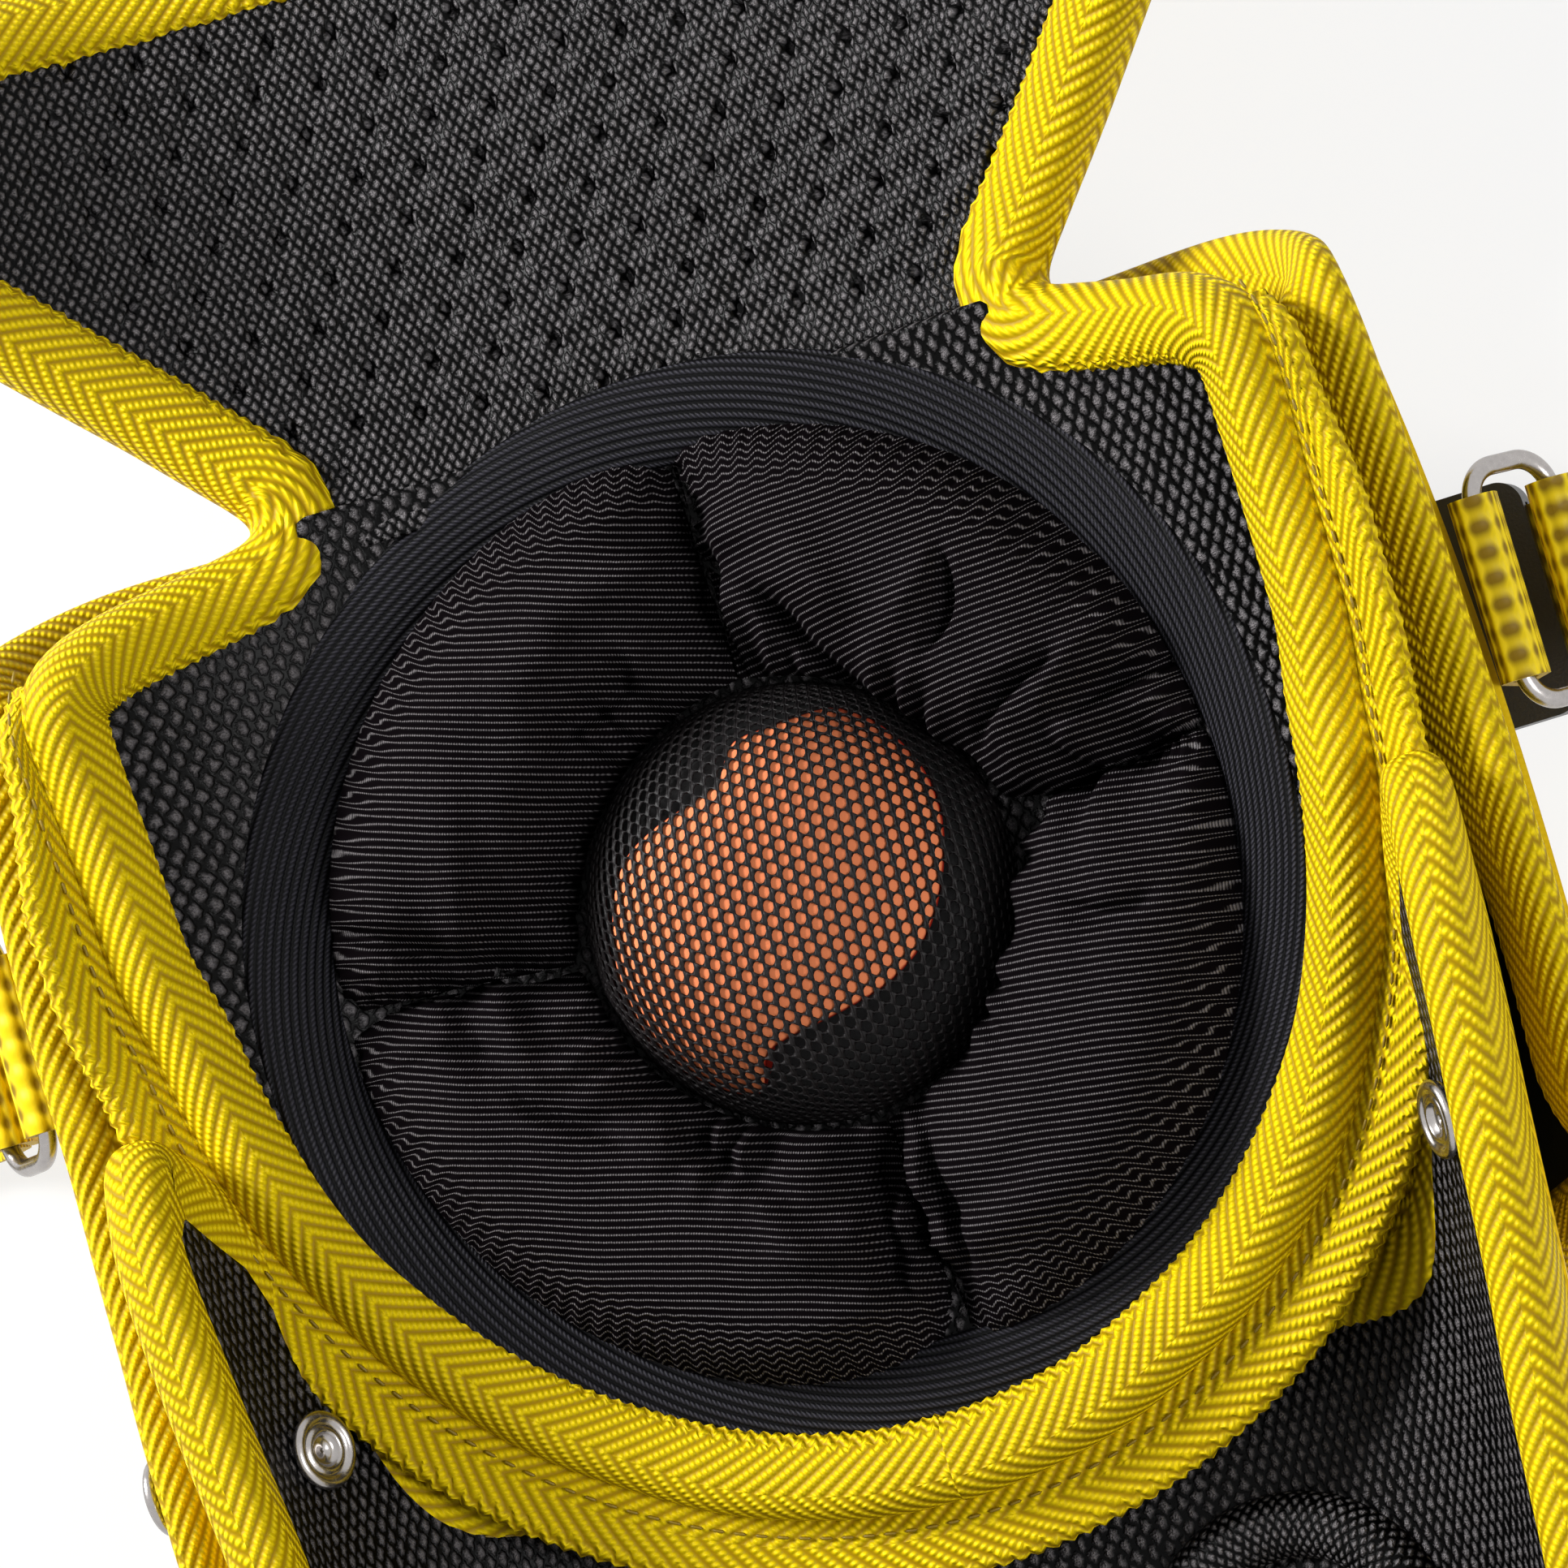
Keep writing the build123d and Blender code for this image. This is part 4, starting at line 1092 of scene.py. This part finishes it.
# Creases pressed into the cushion, in plan: x and y of each end, depth and half width. A raised one has a
# depth below zero.
CREASES = (
    (2, 53, 1, 31, 3.5, 1.3),
    (7, 42, 17, 27, 4.0, 1.4),
    (13, 48, 22, 36, -1.8, 2.6),
    (37, 38, 31, 27, 2.2, 0.9),
    (33, 39, 28, 29, -1.2, 2.0),
    (65, 17, 44, 13, 3.2, 1.3),
    (60, 23, 45, 19, -1.4, 2.2),
    (46, 22, 33, 14, 2.4, 1.1),
    (-12, 38, -22, 29, 2.6, 1.4),
    (-18, 46, -27, 36, -1.2, 2.8),
    (-22, -23, -11, -38, 2.6, 1.2),
    (-17, -27, -6, -50, -1.4, 2.2),
    (2, -32, 1, -56, 4.0, 1.2),
    (11, -37, 9, -54, 3.2, 1.1),
    (6, -36, 5, -52, -2.4, 1.8),
    (-62, 14, -39, 4, 2.8, 1.3),
    (-57, -6, -38, -10, 2.2, 1.6),
    (-40, -13, -30, -25, 2.0, 1.2),
    (50, -14, 37, -12, 2.0, 1.3),
    (54, 31, 47, 41, 1.6, 1.4),
)
CREASE_DEEPER, CREASE_WIDER = 1.6, 1.25


def creases(x, y):
    """Height of all the creases: each is deepest in the middle of its line and fades to its ends and sides."""
    total = 0 * x
    for x1, y1, x2, y2, depth, width in CREASES:
        run, rise = x2 - x1, y2 - y1
        share = ((x - x1) * run + (y - y1) * rise) / (run**2 + rise**2)
        away = ((x - x1) * rise - (y - y1) * run) / np.hypot(run, rise)
        away = away + 1.2 * np.sin(share * 4 + x1)
        across = np.exp(-((away / (CREASE_WIDER * width)) ** 2))
        total = total - depth * across * smoothstep(-0.25, 0.3, share) * smoothstep(1.25, 0.7, share)
    return CREASE_DEEPER * total


def quarter_rings(index, start, end):
    """A quarter of the cushion's roll, drawn thin at its two seams and gathered into the inner ring, the outer
    ring and the seams: folds run straight out from each line and fade within a few millimetres of it."""
    start, end = np.radians(start + SEAM_GAP), np.radians(end - SEAM_GAP)
    path, up, angle = liner_arc(CUSHION_MIDDLE, start, end, step=0.4)
    around = angle[:, None]
    along = lengths_along(path)[:, None]
    to_seam = np.minimum(along, along[-1] - along)
    out, height = (p[None] for p in roll(CUSHION_HALF, 1.0, CUSHION_RISE, COLUMNS, 2.3))
    out_dir, up_dir = frame_along(path, up, False)
    inner, outer = smoothstep(2, -CUSHION_HALF, out), smoothstep(6, CUSHION_HALF, out)
    top = np.clip(height / 6, 0, 1)
    full = 0.05 + 0.95 * (1 - np.exp(-to_seam / (7.0 + 6.0 * inner))) ** 0.75
    inner_folds = 1.7 * inner**2 * np.sin(around * 29 + index + 1.8 * np.sin(around * 9))
    outer_folds = 0.6 * outer**3 * np.sin(around * 150 + 2 * np.sin(around * 23))
    deep = np.sin(out * 0.5 + 2.1 * index + 0.9 * np.sin(out * 0.23) - 0.12 * to_seam)
    seam_folds = 2.6 * np.exp(-to_seam / 10.0) * deep + 0.6 * np.exp(-to_seam / 2.2) * np.sin(out * 2.6)
    rise = height * full + (inner_folds + outer_folds + seam_folds) * top
    wide = out * (0.93 + 0.07 * full)
    pull = 0.5 * np.exp(-to_seam / 1.5) * np.sin(out * 2.6) * top
    rings = path[:, None] + out_dir[:, None] * wide[..., None] + up_dir[:, None] * rise[..., None]
    rings = rings + np.cross(up_dir, out_dir)[:, None] * pull[..., None]
    folds = creases(rings[..., 0], rings[..., 1]) * np.clip(height / 8, 0, 1)
    return rings + up_dir[:, None] * folds[..., None], along[:, 0]


def lay_ribs(mesh, slant):
    """Sets the cloth's UV from the plan, turned by the slant, so that the ribs run straight over the folds.
    Near the outer ring the gathered ribs bend to and fro."""
    place = np.empty(len(mesh.vertices) * 3, np.float32)
    mesh.vertices.foreach_get("co", place)
    x, y = place.reshape(-1, 3)[:, :2].T / MM
    corner = np.empty(len(mesh.loops), np.int32)
    mesh.loops.foreach_get("vertex_index", corner)
    c, s = np.cos(slant), np.sin(slant)
    bend = 0.5 * np.sin(np.arctan2(y, x) * 140) * smoothstep(55, 63, np.hypot(x, y))
    flat = np.stack([x * c + y * s, -x * s + y * c + bend], -1)
    mesh.uv_layers["cloth"].data.foreach_set("uv", flat[corner].astype(np.float32).ravel())


for index, (quarter, start, end, slant) in enumerate(QUARTERS):
    rings, along = quarter_rings(index, start, end)
    lobe = tube(f"cushion_lobe_{quarter}", rings, along, np.arange(COLUMNS) * 0.4, FAILLE)
    lay_ribs(lobe.data, np.radians(slant))
    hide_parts(f"cushion_{quarter}")
    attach(lobe, "knee")


# ---- net over the impact insert -----------------------------------------------------------------
# The cap's half section, a flat-topped curve from its middle to its foot: radius, height, the distance along
# it and how far it has turned down. Points stand closest near the foot, where it is steepest.
DOME_FLOOR = float(over("liner", 0.0, 0.0, LINER_WALL)[0][2])
to_foot = np.r_[np.linspace(0, 0.9, 200, endpoint=False), 1 - np.linspace(0.1, 0, 400) ** 2 * 10]
dome_r = to_foot * DOME_RADIUS
dome_z = DOME_FLOOR + (DOME_TOP - DOME_FLOOR) * (1 - (dome_r / DOME_RADIUS) ** 2.7) ** 0.5
dome_s = np.r_[0, np.cumsum(np.hypot(np.diff(dome_r), np.diff(dome_z)))]
dome_turn = np.arctan2(-np.gradient(dome_z, dome_s), np.gradient(dome_r, dome_s))

# Steps between the net's holes, the direction of a hole's long axis, and a hole's two half lengths.
NET_STEPS = np.array([[1.92, -1.39], [0.0, -2.06]])
HOLE_LONG_AXIS = np.array([0.29, 0.957])
HOLE_LONG, HOLE_SHORT = 0.94, 0.74
HOLE_SIDES = 12


def on_dome(flat, lift):
    """Points over a flat-topped round cap, for places laid out flat from its middle and raised by lift."""
    distance = np.linalg.norm(flat, axis=-1)
    around = flat / np.maximum(distance, 1e-6)[..., None]
    turn = np.interp(distance, dome_s, dome_turn)
    out = np.interp(distance, dome_s, dome_r) + lift * np.sin(turn)
    up = np.interp(distance, dome_s, dome_z) + lift * np.cos(turn)
    return np.stack([out * around[..., 0], out * around[..., 1], up], -1)


def dome_net():
    """Net of oval holes on a slanted lattice, wrapped over the cap: each cell is a ring of faces between the
    cell's edge and its hole, so that the threads between the holes are rounded."""
    steps = np.arange(-45, 46)
    i, j = np.meshgrid(steps, steps)
    centres = i.reshape(-1, 1) * NET_STEPS[0] + j.reshape(-1, 1) * NET_STEPS[1]
    centres = centres[np.linalg.norm(centres, axis=1) < dome_s[-1] - 0.4]
    angle = (np.arange(HOLE_SIDES) + 0.5) * TURN / HOLE_SIDES
    square = np.stack([np.cos(angle), np.sin(angle)], -1)
    square = square / np.abs(square).max(1, keepdims=True) / 2
    border = square[:, :1] * NET_STEPS[0] + square[:, 1:] * NET_STEPS[1]
    short_axis = np.array([HOLE_LONG_AXIS[1], -HOLE_LONG_AXIS[0]])
    polar = np.arctan2(border @ short_axis, border @ HOLE_LONG_AXIS)[:, None]
    hole = np.cos(polar) * HOLE_LONG_AXIS * HOLE_LONG + np.sin(polar) * short_axis * HOLE_SHORT
    middle = (border + hole) / 2
    loops = ((border, 0.1), (middle, 0.25), (hole, 0.0), (middle, -0.25), (border, -0.1))
    cells = np.stack([np.hstack([line, np.full((HOLE_SIDES, 1), lift)]) for line, lift in loops])
    flat = centres[:, None, None, :] + cells[None, ..., :2]
    lift = cells[None, ..., 2] + 0 * flat[..., 0] - 0.3
    points = on_dome(flat, lift).reshape(-1, 3)
    ring, k = np.meshgrid(np.arange(len(loops) - 1), np.arange(HOLE_SIDES), indexing="ij")
    here, after = ring * HOLE_SIDES + k, ring * HOLE_SIDES + (k + 1) % HOLE_SIDES
    quads = np.stack([here, after, after + HOLE_SIDES, here + HOLE_SIDES], -1).reshape(-1, 4)
    starts = np.arange(len(centres))[:, None, None] * len(loops) * HOLE_SIDES
    quads = (quads[None] + starts).reshape(-1, 4)
    a, b, c = points[quads[0, :3]]
    if np.cross(b - a, c - a)[2] < 0:
        quads = quads[:, ::-1]
    uv = flat.reshape(-1, 2)[quads].reshape(-1, 2)
    return mesh_piece("dome_net", points, quads.tolist(), uv, NET_THREAD)


net = dome_net()
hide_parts("dome_mesh")
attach(net, "knee")

# The insert's outline in the cap's flat layout, how much larger it is made, and how far it is moved.
INSERT_OUTLINE = (
    (17, 25), (21, 20), (23.5, 14.5), (24.5, 9), (24, 4), (22, -2), (19, -7.5), (15.5, -11.5),
    (10, -14.5), (3, -16), (-3.6, -17), (-7.5, -18), (-9.5, -20), (-12, -25.5), (-17, -25),
    (-23.5, -20.5), (-27, -15.5), (-28.5, -9.5), (-28, -3), (-26, 3), (-23.5, 9), (-20, 12.5),
    (-14.4, 14.5), (-8, 16), (-4, 17.3), (-3, 20), (-1.5, 23.5), (3, 24), (8, 25), (13, 26.5),
)
INSERT_LARGER = 1.1
INSERT_SHIFT = np.array([1.6, 0.3])
LIP_RADIUS = 1.2


def insert_slab():
    """Moulded insert: rings from its middle out to the outline, over a rounded lip and down its sides, and
    back to the middle underneath."""
    loop = rounded(INSERT_OUTLINE, 2.5, closed=True, step=0.8) * INSERT_LARGER + INSERT_SHIFT
    middle = loop.mean(0)
    out = unit(loop - middle)
    face_lift = -0.65
    rows = [middle + (loop - middle) * share for share in np.linspace(0.03, 1, 14)[:-1]]
    lifts = [face_lift] * len(rows)
    lip = np.linspace(0, np.pi / 2, 6)
    rows += [loop - out * LIP_RADIUS + out * LIP_RADIUS * np.sin(turn) for turn in lip]
    lifts += list(face_lift - LIP_RADIUS + LIP_RADIUS * np.cos(lip))
    rows += [loop + out * 0.3, middle + (loop - middle) * 0.03]
    lifts += [-6.5, -7.0]
    rings = np.stack([on_dome(row, lift) for row, lift in zip(rows, lifts)])
    return tube("moulded_insert", rings, np.arange(len(rows)) * 1.0, np.arange(len(loop)) * 0.8, ORANGE)


insert = insert_slab()
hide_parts("impact_insert")
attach(insert, "knee")


# ---- rivets that join the knee cup to the shin guard --------------------------------------------
# Turned profiles as radius and rise over the cloth: the eyelet has a rolled rim, a groove and an inner ring
# round a sunk middle, and the cap a rolled edge under a low crown.
EYELET = (
    (5.3, 0.3), (5.5, 0.9), (5.2, 1.5), (4.5, 1.8), (3.9, 1.5), (3.6, 1.0), (3.3, 1.3), (2.7, 1.6),
    (2.3, 1.3), (2.2, 0.7), (1.6, 0.5), (0.4, 0.5), (0.4, -0.6), (3.0, -0.6), (5.0, -0.2),
)
CAP = (
    (5.0, -0.4), (5.6, 0.0), (5.8, 0.7), (5.5, 1.2), (4.9, 1.3), (4.6, 1.1), (4.2, 1.5), (3.0, 2.0),
    (1.5, 2.3), (0.4, 2.4), (0.4, -0.6), (3.0, -0.6),
)


def turned(name, profile, centre, normal):
    """Nickel piece with this profile turned about an axis along the normal."""
    radius, rise = np.array(profile).T
    level = unit(np.cross(normal, [0, 1.0, 0]))
    other = np.cross(normal, level)
    angle = np.linspace(0, TURN, 48, endpoint=False)
    ring = np.cos(angle)[:, None] * level + np.sin(angle)[:, None] * other
    rings = centre + radius[:, None, None] * ring + rise[:, None, None] * normal
    made = tube(name, rings, np.arange(len(radius)) * 1.0, angle, NICKEL)
    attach(made, "knee")
    return made


for side, side_name in ((-1, "left"), (1, "right")):
    low, high = box_mm(f"pivot_rivet_{side_name}")
    y, z = (low[1] + high[1]) / 2, (low[2] + high[2]) / 2
    centre, normal = lay("shin", side * s_at_z("shin", z + 3.0, y, SHIN_WALL), y, SHIN_WALL + 0.6)
    head = turned(f"rivet_eyelet_{side_name}", EYELET, centre, unit(normal + np.array([0, 0, 0.15])))
    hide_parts(f"pivot_rivet_{side_name}")
    centre, normal = lay("knee", side * s_at_z("knee", z, y, 0.0), y, 0.0)
    turned(f"rivet_cap_{side_name}", CAP, centre, -normal)

# ---- studio -------------------------------------------------------------------------------------
# The camera's tilt across and along the leg, its roll, its distance from the aim, the aim's place, and the
# width of what it sees there, in metres.
VIEW_ACROSS, VIEW_ALONG, VIEW_ROLL = np.radians([13.018, 3.468, 17.228])
VIEW_DISTANCE = 1.286
AIM_HEIGHT, AIM_RIGHT, AIM_UP = 0.045, 0.00055, 0.01641
VIEW_WIDTH = 0.21183
SENSOR_WIDTH = 36.0
WHITE = (1, 1, 1, 1)


def add_object(name, data):
    """A new object in the scene that holds this mesh, camera or lamp."""
    made = bpy.data.objects.new(name, data)
    bpy.context.scene.collection.objects.link(made)
    return made


def set_camera():
    """Camera above the knee, leaning to the right, with the guard's length turned in its view."""
    back = unit(np.array([np.tan(VIEW_ACROSS), -np.tan(VIEW_ALONG), 1.0]))
    level = unit(np.array([1.0, 0, 0]) - back * back[0])
    rise = np.cross(back, level)
    right = np.cos(VIEW_ROLL) * level - np.sin(VIEW_ROLL) * rise
    up = np.sin(VIEW_ROLL) * level + np.cos(VIEW_ROLL) * rise
    place = np.array([0, 0, AIM_HEIGHT]) + back * VIEW_DISTANCE + right * AIM_RIGHT + up * AIM_UP
    data = bpy.data.cameras.new("camera")
    data.sensor_width = SENSOR_WIDTH
    data.lens = SENSOR_WIDTH * VIEW_DISTANCE / VIEW_WIDTH
    camera = add_object("camera", data)
    camera.matrix_world = Matrix([[*row, 0] for row in (right, up, back)] + [[0, 0, 0, 1]]).transposed()
    camera.matrix_world.translation = Vector(place)
    bpy.context.scene.camera = camera


def seen_rays(tree):
    """One for rays from the camera, from a mirror or through glass, and zero for the light on the guard."""
    path = add(tree, "ShaderNodeLightPath")
    rays = (path.outputs[f"Is {kind} Ray"] for kind in ("Camera", "Glossy", "Transmission"))
    seen = add(tree, "ShaderNodeMath", {0: next(rays), 1: next(rays)}, operation="MAXIMUM")
    return add(tree, "ShaderNodeMath", {0: seen, 1: next(rays)}, operation="MAXIMUM")


def set_floor():
    """A large pale floor that looks nearly white and still takes the guard's shadow."""
    material, tree, shader = begin("white_painted_floor", 0.8, Base_Color=colour("#F4F4F4"))
    part = add(tree, "ShaderNodeMath", {0: seen_rays(tree), 1: 0.82}, operation="MULTIPLY")
    glow = add(tree, "ShaderNodeEmission", {"Color": WHITE, "Strength": 1.0})
    mix = add(tree, "ShaderNodeMixShader", {0: part, 1: shader.outputs[0], 2: glow})
    tree.links.new(mix.outputs[0], tree.nodes["Material Output"].inputs["Surface"])
    floor = bpy.data.meshes.new("floor")
    floor.from_pydata([(-4, -4, 0), (4, -4, 0), (4, 4, 0), (-4, 4, 0)], [], [(0, 1, 2, 3)])
    floor.materials.append(material)
    add_object("floor", floor)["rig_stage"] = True


def set_world():
    """An even white world, bright to the eye and in mirrors, and dim as light on the guard."""
    world = bpy.data.worlds.new("studio")
    world.use_nodes = True
    background = world.node_tree.nodes["Background"]
    seen = seen_rays(world.node_tree)
    strength = add(world.node_tree, "ShaderNodeMath", {0: seen, 1: 0.8, 2: 0.2}, operation="MULTIPLY_ADD")
    background.inputs["Color"].default_value = WHITE
    world.node_tree.links.new(strength.outputs[0], background.inputs["Strength"])
    bpy.context.scene.world = world


def set_lamp(name, where, size, power):
    """A soft square lamp that looks at the guard."""
    data = bpy.data.lights.new(name, "AREA")
    data.size, data.energy = size, power
    lamp = add_object(name, data)
    lamp.location = where
    aim = Vector((0, 0, 0.03)) - Vector(where)
    lamp.rotation_euler = aim.to_track_quat("-Z", "Y").to_euler()


set_camera()
set_floor()
set_world()
set_lamp("key_lamp", (-1.0, 0.75, 0.75), 0.4, 34.0)
set_lamp("fill_lamp", (0.9, -0.3, 1.0), 0.5, 9.0)
bpy.context.scene.view_settings.view_transform = "Standard"

bpy.context.view_layer.update()
low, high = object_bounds()
